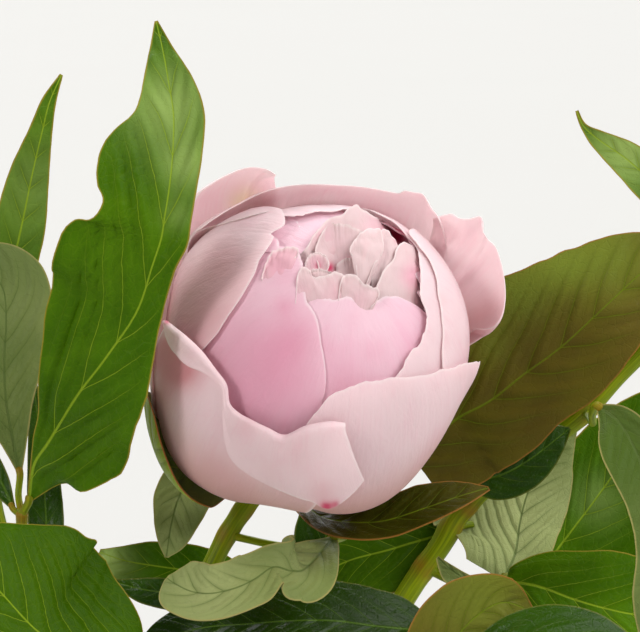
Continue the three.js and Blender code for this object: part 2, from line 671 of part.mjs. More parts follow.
// Where a leaf's stalk ends, just short of its blade.
function leafFoot(name) {
  const { point, tangent } = ribFrame(LEAVES[name], 0);
  return point.addScaledVector(tangent, -JOINT_GAP);
}

// ---- stems, each with the stalks that grow from it ----
const at = (x, y, z) => new THREE.Vector3(x, y, z);
const LEFT_STALK = [
  [-39, -111.5, 49], [-58, -105.5, 40], [-75.5, -88, 26], [-86, -68, 10], [-86.5, -57.5, 4],
];
const RIGHT_STALK = [[30.5, -72.8, 62], [41, -77.5, 57], [51, -77.5, 50]];
const STEMS = {
  flower_stem: {
    radius: FLOWER_STEM_RADIUS,
    path: [
      bloomPoint(0, 0, 51.4), bloomPoint(0, 0, 56),
      ...[
        [-15, -47, 51.5], [-21.5, -55, 53], [-27, -63.5, 53.5], [-31.5, -72.5, 53], [-36, -82.5, 52],
        [-39, -97, 50], [-39, -111.5, 49], [-36, -134.5, 48], [-34, -147.5, 48],
      ].map(seen),
      at(-6.5, -4, 150), at(-8, -8, 118), at(-14, -13, 70), at(-19, -16, 12),
    ],
    stalks: [
      { radius: 1.7, path: LEFT_STALK },
      { radius: 1.1, path: [[-86.5, -57.5, 4]], leaf: 'leaf_upright' },
      { radius: 1, path: [[-86.5, -57.5, 4], [-87.5, -52, 8]], leaf: 'leaf_left' },
      { radius: 0.9, path: [[-86.5, -58, 4]], leaf: 'leaf_left_small' },
      {
        radius: 1.1,
        path: [[-75.5, -88, 26], [-90, -66, 44], [-95, -38, 56], [-93.5, -16, 58]],
        leaf: 'leaf_back_left',
      },
      { radius: 1, path: [[-73, -91.5, 28], [-74, -94, 34]], leaf: 'leaf_back_strip' },
      { radius: 1.5, path: [[-38.5, -117, 49], [-42, -124, 32], [-48, -121, 10]], leaf: 'leaf_low_left' },
      { radius: 1.2, path: [[-27, -63.5, 53], [-8, -67, 46], [7, -64, 28]], leaf: 'leaf_curled' },
      { radius: 1, path: [[-22, -56, 53], [-27, -44, 52]], leaf: 'leaf_withered' },
      { radius: 1.5, path: [[-17, -49.5, 52], [0, -46, 59], [17, -43, 57]], leaf: 'leaf_broad_right' },
      { radius: 1.2, path: [[-37.2, -88, 51.5], [-24, -89, 60], [-12, -82, 62]], leaf: 'leaf_back_low_left' },
      { radius: 1.1, path: [[-38.3, -94, 50.5], [-28, -94, 44], [-20, -85, 36]], leaf: 'leaf_dark_low_left' },
      { radius: 1, path: [[-15, -47, 51.5], [-14, -47, 43]], leaf: 'bract' },
    ],
  },
  leafy_stem: {
    radius: LEAFY_STEM_RADIUS,
    path: [
      at(-20, 5, 12), at(-19, 5, 70), at(-8, 4, 116), at(6.5, 4, 150),
      ...[
        [-0.5, -126, 57], [26, -79.5, 62], [35, -66.5, 62], [41, -56.5, 62], [58, -40.5, 60],
        [74, -30, 58], [87, -16, 55], [100, -4, 51], [111, 2, 48],
      ].map(seen),
    ],
    stalks: [
      { radius: 1.6, path: RIGHT_STALK },
      { radius: 1.2, path: [[51, -77.5, 50]], leaf: 'leaf_low_right' },
      { radius: 1.2, path: [[51, -77.5, 50], [54.5, -75.5, 52.5]], leaf: 'leaf_pale_right' },
      { radius: 0.9, path: [[50, -77.5, 50.5], [50.5, -78.5, 43]], leaf: 'leaf_small_pale' },
      { radius: 1.2, path: [[77, -27.5, 57.4], [79, -31, 42], [79, -28, 24]], leaf: 'leaf_hanging_right' },
      { radius: 1.5, path: [[6.4, -114, 58.3], [20, -122, 38], [30, -120, 16]], leaf: 'leaf_olive_low' },
      { radius: 1.2, path: [[26, -121.5, 25], [35, -117, 4]], leaf: 'leaf_front_low_right' },
      { radius: 1.3, path: [[19, -92, 60.7], [35, -97, 48], [40, -94, 36]], leaf: 'leaf_glossy_low' },
      { radius: 1.1, path: [[38, -61.5, 62], [44, -60.5, 68.5]], leaf: 'leaf_behind_stem' },
      { radius: 1.1, path: [[17, -95.5, 60.3], [9, -96, 76]], leaf: 'leaf_back_centre' },
      { radius: 1.4, path: [[22.5, -86, 61.3], [42, -96, 86]], leaf: 'leaf_far_right' },
      { radius: 1.1, path: [[42, -55, 62], [37, -50.5, 58]], leaf: 'leaf_under_right' },
      { radius: 1.3, path: [[111, 2, 48]], leaf: 'leaf_top_right' },
    ],
  },
};

function tube(points, radius, sides) {
  const outline = [];
  for (let i = 0; i < sides; i++) {
    const angle = (2 * Math.PI * i) / sides;
    outline.push(new THREE.Vector2(radius * Math.cos(angle), radius * Math.sin(angle)));
  }
  const path = new THREE.CatmullRomCurve3(points, false, 'centripetal');
  const steps = Math.max(2, Math.round(path.getLength() / TUBE_STEP));
  const shape = new THREE.Shape(outline);
  return new THREE.ExtrudeGeometry(shape, { steps, extrudePath: path, bevelEnabled: false });
}

function stem({ radius, path, stalks }) {
  let whole = toSolid(tube(path, radius, 8));
  for (const stalk of stalks) {
    const points = stalk.path.map(seen);
    if (stalk.leaf) points.push(leafFoot(stalk.leaf));
    whole = whole.add(toSolid(tube(points, stalk.radius, 6)));
  }
  return toGeometry(whole);
}

// ---- the whole flower ----
function named(name, geometry, material) {
  const mesh = new THREE.Mesh(geometry, material);
  mesh.name = name;
  return mesh;
}

const INNER_PETALS = [
  'rose_petal_left', 'rose_petal_front', 'ragged_petal_right', 'core_petal_left', 'core_petal_back',
  'core_petal_front',
];

const bloom = new THREE.Group();
bloom.add(receptacle());
bloom.add(named('guard_petal_front_left', lapelPetal(6, 8), PALE_PINK()));
for (const [name, petal] of Object.entries(PETALS)) {
  const colour = INNER_PETALS.includes(name) ? ROSE_PINK() : PALE_PINK();
  bloom.add(named(name, shell(petal, 7, 7, PETAL_THICKNESS), colour));
}
CENTRE_PETALS.forEach((petal, i) => {
  bloom.add(named(`centre_petal_${i + 1}`, centrePetal(petal), CREAM_PINK()));
});
for (const [name, sepal] of Object.entries(SEPALS)) {
  bloom.add(named(name, shell(sepal, 4, 4, LEAF_THICKNESS), SEPAL_GREEN()));
}

const foliage = new THREE.Group();
for (const [name, parts] of Object.entries(STEMS)) {
  foliage.add(named(name, stem(parts), STEM_GREEN()));
}
for (const [name, leaf] of Object.entries(LEAVES)) {
  foliage.add(named(name, leafBlade(leaf), LEAF_COLOURS[leaf.colour]()));
}

const peony = new THREE.Group();
peony.add(vase(), bloom, foliage);

export default peony;
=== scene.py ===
"""A half-open double peony with its leaves in a plain bud vase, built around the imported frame.

Tables are in millimetres and degrees, as the part's are. A mesh is turned into metres when it is made.
"""
import math
from collections import namedtuple

import bpy
import numpy as np
from mathutils import Matrix, Vector, noise


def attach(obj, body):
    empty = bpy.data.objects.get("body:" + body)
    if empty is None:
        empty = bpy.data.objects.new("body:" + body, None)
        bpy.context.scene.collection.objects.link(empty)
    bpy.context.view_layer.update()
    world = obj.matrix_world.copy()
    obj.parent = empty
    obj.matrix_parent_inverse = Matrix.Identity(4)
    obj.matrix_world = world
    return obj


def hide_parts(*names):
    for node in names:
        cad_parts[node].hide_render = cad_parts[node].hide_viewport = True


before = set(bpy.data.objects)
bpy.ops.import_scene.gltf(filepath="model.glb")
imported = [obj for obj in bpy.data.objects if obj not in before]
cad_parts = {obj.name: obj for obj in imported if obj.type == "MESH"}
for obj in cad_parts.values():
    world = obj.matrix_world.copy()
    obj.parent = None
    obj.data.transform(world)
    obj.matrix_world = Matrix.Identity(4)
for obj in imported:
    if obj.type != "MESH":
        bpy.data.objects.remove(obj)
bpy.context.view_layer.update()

MM = 0.001
BODY = "root"
UPWARDS = np.array([0.0, 0.0, 1.0])

# ---- driving dimensions, as in the part ----
VASE_HEIGHT = 150
VASE_BELLY_RADIUS = 41
VASE_FOOT_RADIUS = 31
VASE_NECK_RADIUS = 14
VASE_LIP_RADIUS = 19
VASE_WALL = 3.5
VASE_FLOOR = 6

BLOOM_RADIUS = 47.6
LAYER_STEP = 1.35
BLOOM_CENTRE = np.array([30.0, -22.0, 328.0])
BLOOM_RISE = math.radians(43.4)
BLOOM_TURN = math.radians(16.1)
STALK_RING = 8.2
RECEPTACLE_RADIUS = 7.5
DISC_RADIUS = 15.5
PETAL_THICKNESS = 0.5
LEAF_THICKNESS = 0.6
FLOWER_STEM_RADIUS = 3
LEAFY_STEM_RADIUS = 3.5

# ---- the photograph's view ----
PHOTO_WIDTH, PHOTO_HEIGHT = 640, 632
PHOTO_MM_PER_PIXEL = 0.29
VIEW_FALL = math.radians(10)
VIEW_DISTANCE = 900
VIEW_LIFT = 9.9
RIGHT = np.array([1.0, 0.0, 0.0])
UP = np.array([0.0, math.sin(VIEW_FALL), math.cos(VIEW_FALL)])
AWAY = np.array([0.0, math.cos(VIEW_FALL), -math.sin(VIEW_FALL)])
VIEW_CENTRE = BLOOM_CENTRE + UP * VIEW_LIFT

# ---- the bloom's own axes ----
BLOOM_AXIS = np.array([
    math.cos(BLOOM_RISE) * math.sin(BLOOM_TURN),
    -math.cos(BLOOM_RISE) * math.cos(BLOOM_TURN),
    math.sin(BLOOM_RISE),
])
BLOOM_SIDE = np.cross(UPWARDS, BLOOM_AXIS)
BLOOM_SIDE /= np.linalg.norm(BLOOM_SIDE)
BLOOM_FRONT = np.cross(BLOOM_SIDE, BLOOM_AXIS)
# Where the bloom is fuller or slimmer than a ball: direction in the front view in degrees above +X,
# how wide the change is in degrees, and its share of the radius.
SWELLS = [[-137, 24, 0.12], [-28, 34, -0.07], [-71, 20, 0.05], [-103, 10, -0.12], [140, 22, 0.06]]
SIGHT_STEPS = 40


# ---- numbers along curves ----
def mix(a, b, share):
    return a + (b - a) * share


def smooth(x, low, high):
    t = np.clip((x - low) / (high - low), 0, 1)
    return t * t * (3 - 2 * t)


def along(rows, t):
    """The values at each t, from 0 to 1, on a smooth curve through evenly spaced rows of numbers."""
    rows = np.array(rows, float)
    last = len(rows) - 1
    t = np.asarray(t, float)
    i = np.minimum((t * last).astype(int), last - 1)
    f = t * last - i
    if rows.ndim > 1:
        f = f[..., None]
    p, q, r, s = (rows[np.clip(i + k, 0, last)] for k in (-1, 0, 1, 2))
    return q + 0.5 * f * (r - p + f * (2 * p - 5 * q + 4 * r - s + f * (3 * q - p - 3 * r + s)))


SEED_STEP = 7.31   # between the noise of one seed and the next


def grain(x, y, seed, scale):
    """Smooth noise from -1 to 1 over two arrays of millimetres."""
    level = seed * SEED_STEP
    flat = [noise.noise(Vector((a / scale, b / scale, level))) for a, b in zip(np.ravel(x), np.ravel(y))]
    return np.reshape(flat, np.shape(x))


def seen(points):
    """Points given as [right, up, away] in the photograph's view."""
    points = np.asarray(points, float)
    spread = 1 + points[..., 2:] / VIEW_DISTANCE
    flat = points[..., :1] * RIGHT + points[..., 1:2] * UP
    return VIEW_CENTRE + flat * spread + points[..., 2:] * AWAY


def pixel_of(points):
    """Where points show in the photograph, in its pixels."""
    offset = points - VIEW_CENTRE
    spread = 1 + (offset @ AWAY) / VIEW_DISTANCE
    x = PHOTO_WIDTH / 2 + offset @ RIGHT / spread / PHOTO_MM_PER_PIXEL
    y = PHOTO_HEIGHT / 2 - offset @ UP / spread / PHOTO_MM_PER_PIXEL
    return x, y


def swell_at(direction):
    """How much further out than a ball the bloom stands in each direction, as a share."""
    swell = np.ones(direction.shape[:-1])
    for angle, width, share in SWELLS:
        centre = math.cos(math.radians(angle)) * RIGHT + math.sin(math.radians(angle)) * UP
        apart = np.degrees(np.arccos(np.clip(direction @ centre, -1, 1)))
        swell = swell + share * np.exp(-((apart / width) ** 2))
    return swell


def bloom_point(around, rise, radius):
    """Points of the bloom: around its axis from the low front, rise from the stem's pole, in degrees."""
    a = np.radians(around)[..., None]
    r = np.radians(rise)[..., None]
    across = np.cos(a) * BLOOM_FRONT + np.sin(a) * BLOOM_SIDE
    direction = -np.cos(r) * BLOOM_AXIS + np.sin(r) * across
    return BLOOM_CENTRE + direction * (np.asarray(radius) * swell_at(direction))[..., None]


def bloom_angles(x, y, radius):
    """Around and rise of the bloom's nearer point that shows at a pixel of the photograph."""
    right = (x - PHOTO_WIDTH / 2) * PHOTO_MM_PER_PIXEL
    up = (PHOTO_HEIGHT / 2 - y) * PHOTO_MM_PER_PIXEL
    start = seen([right, up, 0]) - BLOOM_CENTRE
    sight = seen([right, up, 1]) - BLOOM_CENTRE - start
    swell = 1.0
    for _ in range(SIGHT_STEPS):
        length = sight @ sight
        middle = -(start @ sight) / length
        half = middle ** 2 - (start @ start - (radius * swell) ** 2) / length
        point = start + (middle - math.sqrt(max(half, 0))) * sight
        direction = point / np.linalg.norm(point)
        swell = mix(swell, float(swell_at(direction)), 0.5)
    around = math.degrees(math.atan2(direction @ BLOOM_SIDE, direction @ BLOOM_FRONT))
    return around, math.degrees(math.acos(-(direction @ BLOOM_AXIS)))


# ---- meshes ----
SHEET_SHARP, TURNED_SHARP, STEM_SHARP = 55, 50, 60   # degrees between faces that shade as an edge


def make_object(name, vertices, faces, fields, sharp=40):
    """A mesh object from vertices in millimetres. fields: a number or a vector for each vertex, by name."""
    mesh = bpy.data.meshes.new(name)
    mesh.from_pydata((np.asarray(vertices) * MM).tolist(), [], [list(face) for face in faces])
    for key, values in fields.items():
        values = np.asarray(values, np.float32)
        vector = values.ndim > 1
        layer = mesh.attributes.new(key, "FLOAT_VECTOR" if vector else "FLOAT", "POINT")
        layer.data.foreach_set("vector" if vector else "value", values.ravel())
    mesh.polygons.foreach_set("use_smooth", [True] * len(mesh.polygons))
    mesh.set_sharp_from_angle(angle=math.radians(sharp))
    made = bpy.data.objects.new(name, mesh)
    bpy.context.scene.collection.objects.link(made)
    return made


def place(piece, shader, node):
    """Gives a piece its material, hangs it on the body, and hides the CAD node it stands for."""
    piece.data.materials.append(shader.material)
    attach(piece, BODY)
    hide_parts(node)


def sheet(name, grid, thickness, fields, shader, ridge=0.0):
    """A thin closed solid around a grid of points: rows run from base to rim, columns from side to side.

    ridge is what the back stands out beyond half the thickness.
    """
    rows, columns = grid.shape[:2]
    count = rows * columns
    normal = np.cross(np.gradient(grid, axis=1), np.gradient(grid, axis=0))
    normal /= np.linalg.norm(normal, axis=2, keepdims=True) + 1e-9
    half = thickness[..., None] / 2
    back = half + np.asarray(ridge)[..., None]
    vertices = np.concatenate([(grid + normal * half).reshape(-1, 3), (grid - normal * back).reshape(-1, 3)])
    top = np.arange(count).reshape(rows, columns)
    bottom = top + count
    corners = [
        [top[:-1, :-1], top[:-1, 1:], top[1:, 1:], top[1:, :-1]],
        [bottom[:-1, :-1], bottom[1:, :-1], bottom[1:, 1:], bottom[:-1, 1:]],
        [top[0, :-1], bottom[0, :-1], bottom[0, 1:], top[0, 1:]],
        [top[-1, 1:], bottom[-1, 1:], bottom[-1, :-1], top[-1, :-1]],
        [top[1:, 0], bottom[1:, 0], bottom[:-1, 0], top[:-1, 0]],
        [top[:-1, -1], bottom[:-1, -1], bottom[1:, -1], top[1:, -1]],
    ]
    faces = np.concatenate([np.stack(four, -1).reshape(-1, 4) for four in corners])
    flat = {key: values.reshape(count, *values.shape[2:]) for key, values in fields.items()}
    both = {key: np.concatenate([values, values]) for key, values in flat.items()}
    both["behind"] = np.repeat([0.0, 1.0], count)
    place(make_object(name + "_look", vertices, faces, both, SHEET_SHARP), shader, name)


def lengths(path):
    """Millimetres along a path to each of its points."""
    return np.concatenate([[0], np.cumsum(np.linalg.norm(np.diff(path, axis=0), axis=1))])


def distances(grid):
    """Millimetres along each column from the base, and across each row from its middle and from its side."""
    along_column = np.zeros(grid.shape[:2])
    along_column[1:] = np.cumsum(np.linalg.norm(np.diff(grid, axis=0), axis=2), axis=0)
    across_row = np.zeros(grid.shape[:2])
    across_row[:, 1:] = np.cumsum(np.linalg.norm(np.diff(grid, axis=1), axis=2), axis=1)
    middle = across_row[:, grid.shape[1] // 2][:, None]
    return along_column, across_row - middle, across_row


def with_seed(across_mm, along_mm, seed):
    """The vector that a piece's noise is drawn from: its own millimetres, and a number of its own."""
    return np.stack([across_mm, along_mm, np.full_like(across_mm, seed)], -1)


# ---- shader nodes ----
class Shader:
    """A material's node tree, with a short call for each kind of node."""

    def __init__(self, name):
        self.name = name
        self.material = bpy.data.materials.new(name)
        self.material.use_nodes = True
        self.tree = self.material.node_tree
        self.surface = self.tree.nodes["Principled BSDF"]

    def node(self, kind, inputs=None, **settings):
        made = self.tree.nodes.new(kind)
        for key, value in settings.items():
            setattr(made, key, value)
        for key, value in (inputs or {}).items():
            self.feed(made.inputs[key], value)
        return made

    def feed(self, socket, value):
        if isinstance(value, bpy.types.NodeSocket):
            self.tree.links.new(value, socket)
        elif isinstance(value, tuple) and len(value) == 3 and socket.type == "RGBA":
            socket.default_value = (*value, 1)
        else:
            socket.default_value = value

    def field(self, name, output="Fac"):
        return self.node("ShaderNodeAttribute", attribute_name=name).outputs[output]

    def math(self, operation, a, b=0.0):
        return self.node("ShaderNodeMath", {0: a, 1: b}, operation=operation).outputs[0]

    def times(self, a, b):
        return self.math("MULTIPLY", a, b)

    def total(self, first, *others):
        """The sum of terms, each a value, or a value and its factor."""
        found = self.times(*first) if isinstance(first, tuple) else first
        for term in others:
            found = self.math("ADD", found, self.times(*term) if isinstance(term, tuple) else term)
        return found

    def span(self, value, low, high, start=0.0, end=1.0):
        """value's smooth step from low to high, as a number from start to end."""
        inputs = {"Value": value, "From Min": low, "From Max": high, "To Min": start, "To Max": end}
        return self.node("ShaderNodeMapRange", inputs, interpolation_type="SMOOTHSTEP").outputs["Result"]

    def stretched(self, vector, factors):
        return self.node("ShaderNodeVectorMath", {0: vector, 1: factors}, operation="MULTIPLY").outputs[0]

    def noise(self, vector, factors, detail=3.0, roughness=0.55, distortion=0.0):
        """Noise from 0 to 1 on a vector that is multiplied by factors."""
        return self.node("ShaderNodeTexNoise", {
            "Vector": self.stretched(vector, factors), "Scale": 1.0, "Detail": detail,
            "Roughness": roughness, "Distortion": distortion}).outputs["Fac"]

    def tissue(self, across, lengthwise, *shape):
        """Noise on the piece's own millimetres, multiplied by a factor each way."""
        return self.noise(self.field("grain", "Vector"), (across, lengthwise, 1.0), *shape)

    def mixed(self, share, a, b):
        return self.node("ShaderNodeMix", {"Factor": share, 6: a, 7: b}, data_type="RGBA").outputs[2]

    def coated(self, colour, *coats):
        """A colour under coats, each of them the share that it covers and its own colour."""
        for share, coat in coats:
            colour = self.mixed(share, colour, coat)
        return colour

    def bump(self, height, strength, distance):
        inputs = {"Strength": strength, "Distance": distance, "Height": height}
        return self.node("ShaderNodeBump", inputs).outputs["Normal"]

    def set(self, **values):
        for key, value in values.items():
            self.feed(self.surface.inputs[key.replace("_", " ")], value)

    def let_through(self, colour, share, normal):
        """Lets a share of the light through, as a thin petal or leaf does."""
        through = self.node("ShaderNodeBsdfTranslucent", {"Color": colour, "Normal": normal})
        both = self.node("ShaderNodeMixShader", {
            0: share, 1: self.surface.outputs["BSDF"], 2: through.outputs["BSDF"]})
        self.feed(self.tree.nodes["Material Output"].inputs["Surface"], both.outputs[0])


def petal_material(name, main, deep, pale, flushed_and_shaded, rim, foot=(30.0, 4.0), through=0.3):
    """Petal tissue: fine lengthwise veins, soft blotches, a thin light rim, and painted shade that darkens it
    towards its foot.
    """
    s = Shader(name)
    streaks = s.tissue(1.1, 0.035, 4.0, 0.6, 0.3)
    veins = s.tissue(3.0, 0.06, 3.0, 0.6, 0.2)
    blotches = s.tissue(0.06, 0.045, 3.0, 0.5, 0.4)
    speckle = s.tissue(1.6, 1.2, 4.0, 0.7)
    crinkle = s.tissue(0.24, 0.11, 4.0, 0.6, 0.5)
    tone = s.total(s.span(blotches, 0.35, 0.72, 0.0, 0.45), s.span(streaks, 0.35, 0.75, -0.05, 0.2),
                   s.span(s.field("rim"), 14.0, 0.0, 0.1, -0.25))
    edge = s.total(s.field("rim"), (streaks, -0.7))
    colour = s.coated(
        main,
        (s.span(tone, 0.0, 1.0), deep),
        # painted shade: darker towards the petal's foot, on the bloom's underside and deep in its opening
        (s.span(s.field("foot"), *foot, 0.0, 0.85), pale),
        (s.span(veins, 0.52, 0.75, 0.0, 0.10), deep),
        (s.span(speckle, 0.62, 0.8, 0.0, 0.05), deep),
        (s.span(crinkle, 0.5, 0.72, 0.0, 0.22), deep),
        # flush marks: partly the petal's own flush, partly painted shade and painted shadow
        (s.field("flush"), flushed_and_shaded),
        (s.span(edge, 0.9, -0.3, 0.0, 0.8), rim),
        (s.field("yellow"), (0.86, 0.74, 0.42)),
        # crimson: the petal's own colour on the lapel's tips, painted shade in the opening's hollows
        (s.field("crimson_and_hollow_shade"), (0.70, 0.02, 0.14)))
    normal = s.bump(s.total((streaks, 0.7), (speckle, 0.12), (crinkle, 3.2), (veins, 0.4)), 0.22, 0.0006)
    s.set(Base_Color=colour, Normal=normal, Roughness=s.span(streaks, 0.2, 0.8, 0.45, 0.62))
    s.set(Specular_IOR_Level=0.2, Sheen_Weight=0.1, Sheen_Roughness=0.4)
    s.let_through(s.mixed(0.6, colour, (0.98, 0.93, 0.92)), through, normal)
    return s


def leaf_material(name, main, light, vein, painted_sheen, shade_and_dark_tone, under, rim, rough=0.34, through=0.12, specular=0.06):
    """Leaf tissue: a midrib, side veins that curve to the tip, a fine net between them, a thin rim, and
    painted sheen and painted shade laid on by marks.
    """
    s = Shader(name)
    order = s.total(s.field("order"), (s.tissue(0.09, 0.09, 2.0), 0.16))
    from_vein = s.math("ABSOLUTE", s.math("SUBTRACT", s.math("FRACT", order), 0.5))
    reach = s.field("reach")
    side = s.times(s.span(from_vein, 0.026, 0.006), s.span(reach, 0.95, 0.2))
    halo = s.times(s.span(from_vein, 0.2, 0.0), s.span(reach, 1.1, 0.2))
    groove = s.times(s.span(from_vein, 0.34, 0.0), s.span(reach, 1.1, 0.3))
    middle = s.span(s.field("from_rib"), 0.6, 0.2)
    cells = s.node("ShaderNodeTexVoronoi", {
        "Vector": s.stretched(s.field("grain", "Vector"), (0.42, 0.30, 1.0)), "Scale": 1.0},
        feature="DISTANCE_TO_EDGE")
    net = s.span(cells.outputs["Distance"], 0.09, 0.0)
    mottle = s.tissue(0.05, 0.035, 4.0, 0.6)
    fine = s.tissue(1.8, 1.8, 3.0, 0.6)
    behind = s.field("behind")
    colour = s.coated(
        main,
        (s.total(s.span(mottle, 0.35, 0.7, 0.0, 0.7), (halo, 0.3), s.span(fine, 0.4, 0.7, 0.0, 0.1)), light),
        (s.field("painted_sheen"), painted_sheen),
        (s.field("shade_and_dark_tone"), shade_and_dark_tone),
        (behind, under),
        (s.times(net, 0.05), vein),
        # painted shade in the grooves beside the veins
        (s.times(halo, 0.3), shade_and_dark_tone),
        (s.times(side, 0.7), vein),
        (s.times(middle, 0.75), vein),
        (s.span(s.field("rim"), 0.6, 0.1, 0.0, 0.8), rim))
    height = s.total((fine, 0.45), (net, -0.2), (side, -0.7), (groove, -1.5), (middle, -0.6))
    normal = s.bump(height, 0.5, 0.0008)
    s.set(Base_Color=colour, Normal=normal, Specular_IOR_Level=specular)
    s.set(Roughness=s.total(s.span(fine, 0.2, 0.8, rough - 0.04, rough + 0.06), (behind, 0.2)))
    s.let_through(s.mixed(0.5, colour, light), through, normal)
    return s


def stem_material(name, main, light, flush):
    """Stem skin: long fine ribs, lighter streaks and reddish patches near the joints."""
    s = Shader(name)
    ribs = s.tissue(1.6, 0.035, 3.0, 0.6)
    patches = s.tissue(0.15, 0.05, 3.0)
    pores = s.tissue(3.0, 1.2, 2.0)
    colour = s.coated(
        main,
        (s.span(ribs, 0.35, 0.7), light),
        (s.times(s.field("joint"), s.span(patches, 0.3, 0.6, 0.0, 0.6)), flush),
        (s.span(pores, 0.66, 0.8, 0.0, 0.3), light))
    s.set(Base_Color=colour, Normal=s.bump(s.total(ribs, (pores, 0.2)), 0.35, 0.0006))
    s.set(Roughness=s.span(pores, 0.2, 0.8, 0.36, 0.5))
    s.set(Specular_IOR_Level=0.15, Subsurface_Weight=0.1, Subsurface_Scale=0.002)
    return s


def glaze_material():
    """Off-white glaze: it thins to a warmer edge on the lip, and the foot ring is bare clay."""
    s = Shader("vase_glaze")
    position = s.node("ShaderNodeTexCoord").outputs["Object"]
    height = s.node("ShaderNodeSeparateXYZ", {0: position}).outputs["Z"]
    drift = s.noise(position, (30.0, 30.0, 12.0), 4.0)
    specks = s.noise(position, (900.0, 900.0, 900.0), 2.0, 0.5)
    bare = s.span(s.total(height, (drift, 0.0012)), 0.0034, 0.0026)
    colour = s.coated(
        (0.66, 0.63, 0.565),
        (s.span(drift, 0.35, 0.7), (0.72, 0.70, 0.645)),
        (s.span(specks, 0.68, 0.76, 0.0, 0.45), (0.46, 0.36, 0.25)),
        (s.span(height, 0.1478, 0.1496, 0.0, 0.6), (0.62, 0.52, 0.40)),
        (bare, (0.56, 0.45, 0.34)))
    s.set(Base_Color=colour, Normal=s.bump(s.total((drift, 0.8), s.times(specks, bare)), 0.15, 0.0015))
    s.set(Roughness=s.total(s.span(drift, 0.3, 0.7, 0.2, 0.3), (bare, 0.5)))
    s.set(Specular_IOR_Level=0.5, Coat_Weight=0.3, Coat_Roughness=0.12)
    return s


# pale: the colour of the painted shade towards each petal's foot.
OUTER_PINK = petal_material(
    "outer_petal", main=(0.96, 0.785, 0.81), deep=(0.94, 0.645, 0.71), pale=(0.80, 0.48, 0.43),
    flushed_and_shaded=(0.74, 0.33, 0.36), rim=(0.96, 0.86, 0.86), foot=(78.0, 46.0), through=0.45)
ROSE_PINK = petal_material(
    "inner_petal", main=(0.94, 0.65, 0.74), deep=(0.92, 0.52, 0.65), pale=(0.90, 0.55, 0.62),
    flushed_and_shaded=(0.82, 0.34, 0.48), rim=(0.96, 0.80, 0.84))
CREAM_PINK = petal_material(
    "centre_petal", main=(0.79, 0.605, 0.61), deep=(0.80, 0.46, 0.50), pale=(0.82, 0.30, 0.36),
    flushed_and_shaded=(0.88, 0.46, 0.56), rim=(0.88, 0.76, 0.75), foot=(34.0, 20.0))
LEAF_MATERIALS = {
    "green": leaf_material(
        "leaf_green", main=(0.044, 0.120, 0.0005), light=(0.085, 0.195, 0.002), vein=(0.28, 0.40, 0.02),
        painted_sheen=(0.42, 0.56, 0.16), shade_and_dark_tone=(0.026, 0.065, 0.0005), under=(0.17, 0.25, 0.05),
        rim=(0.34, 0.25, 0.03)),
    "dark": leaf_material(
        "leaf_dark", main=(0.016, 0.052, 0.0005), light=(0.040, 0.105, 0.002), vein=(0.09, 0.18, 0.01),
        painted_sheen=(0.20, 0.29, 0.11), shade_and_dark_tone=(0.012, 0.032, 0.0005), under=(0.09, 0.15, 0.02),
        rim=(0.13, 0.15, 0.02), rough=0.24, specular=0.2),
    "pale": leaf_material(
        "leaf_pale", main=(0.15, 0.20, 0.055), light=(0.24, 0.29, 0.09), vein=(0.10, 0.15, 0.035),
        painted_sheen=(0.46, 0.50, 0.21), shade_and_dark_tone=(0.062, 0.115, 0.012), under=(0.25, 0.30, 0.11),
        rim=(0.38, 0.33, 0.11), rough=0.36),
    "bronze": leaf_material(
        "leaf_bronze", main=(0.112, 0.078, 0.013), light=(0.150, 0.128, 0.012), vein=(0.150, 0.215, 0.008),
        painted_sheen=(0.19, 0.27, 0.03), shade_and_dark_tone=(0.030, 0.033, 0.001), under=(0.15, 0.15, 0.015),
        rim=(0.34, 0.15, 0.03)),
}
SEPAL_GREEN = leaf_material(
    "sepal", main=(0.24, 0.34, 0.012), light=(0.34, 0.40, 0.02), vein=(0.30, 0.36, 0.03),
    painted_sheen=(0.3, 0.36, 0.1), shade_and_dark_tone=(0.05, 0.07, 0.003), under=(0.18, 0.22, 0.03), rim=(0.36, 0.07, 0.03),
    rough=0.38)
STEM_GREEN = stem_material(
    "stem", main=(0.115, 0.165, 0.0005), light=(0.24, 0.30, 0.002), flush=(0.26, 0.09, 0.01))
RECEPTACLE_GREEN = stem_material(
    "receptacle", main=(0.16, 0.21, 0.012), light=(0.25, 0.30, 0.03), flush=(0.34, 0.13, 0.04))

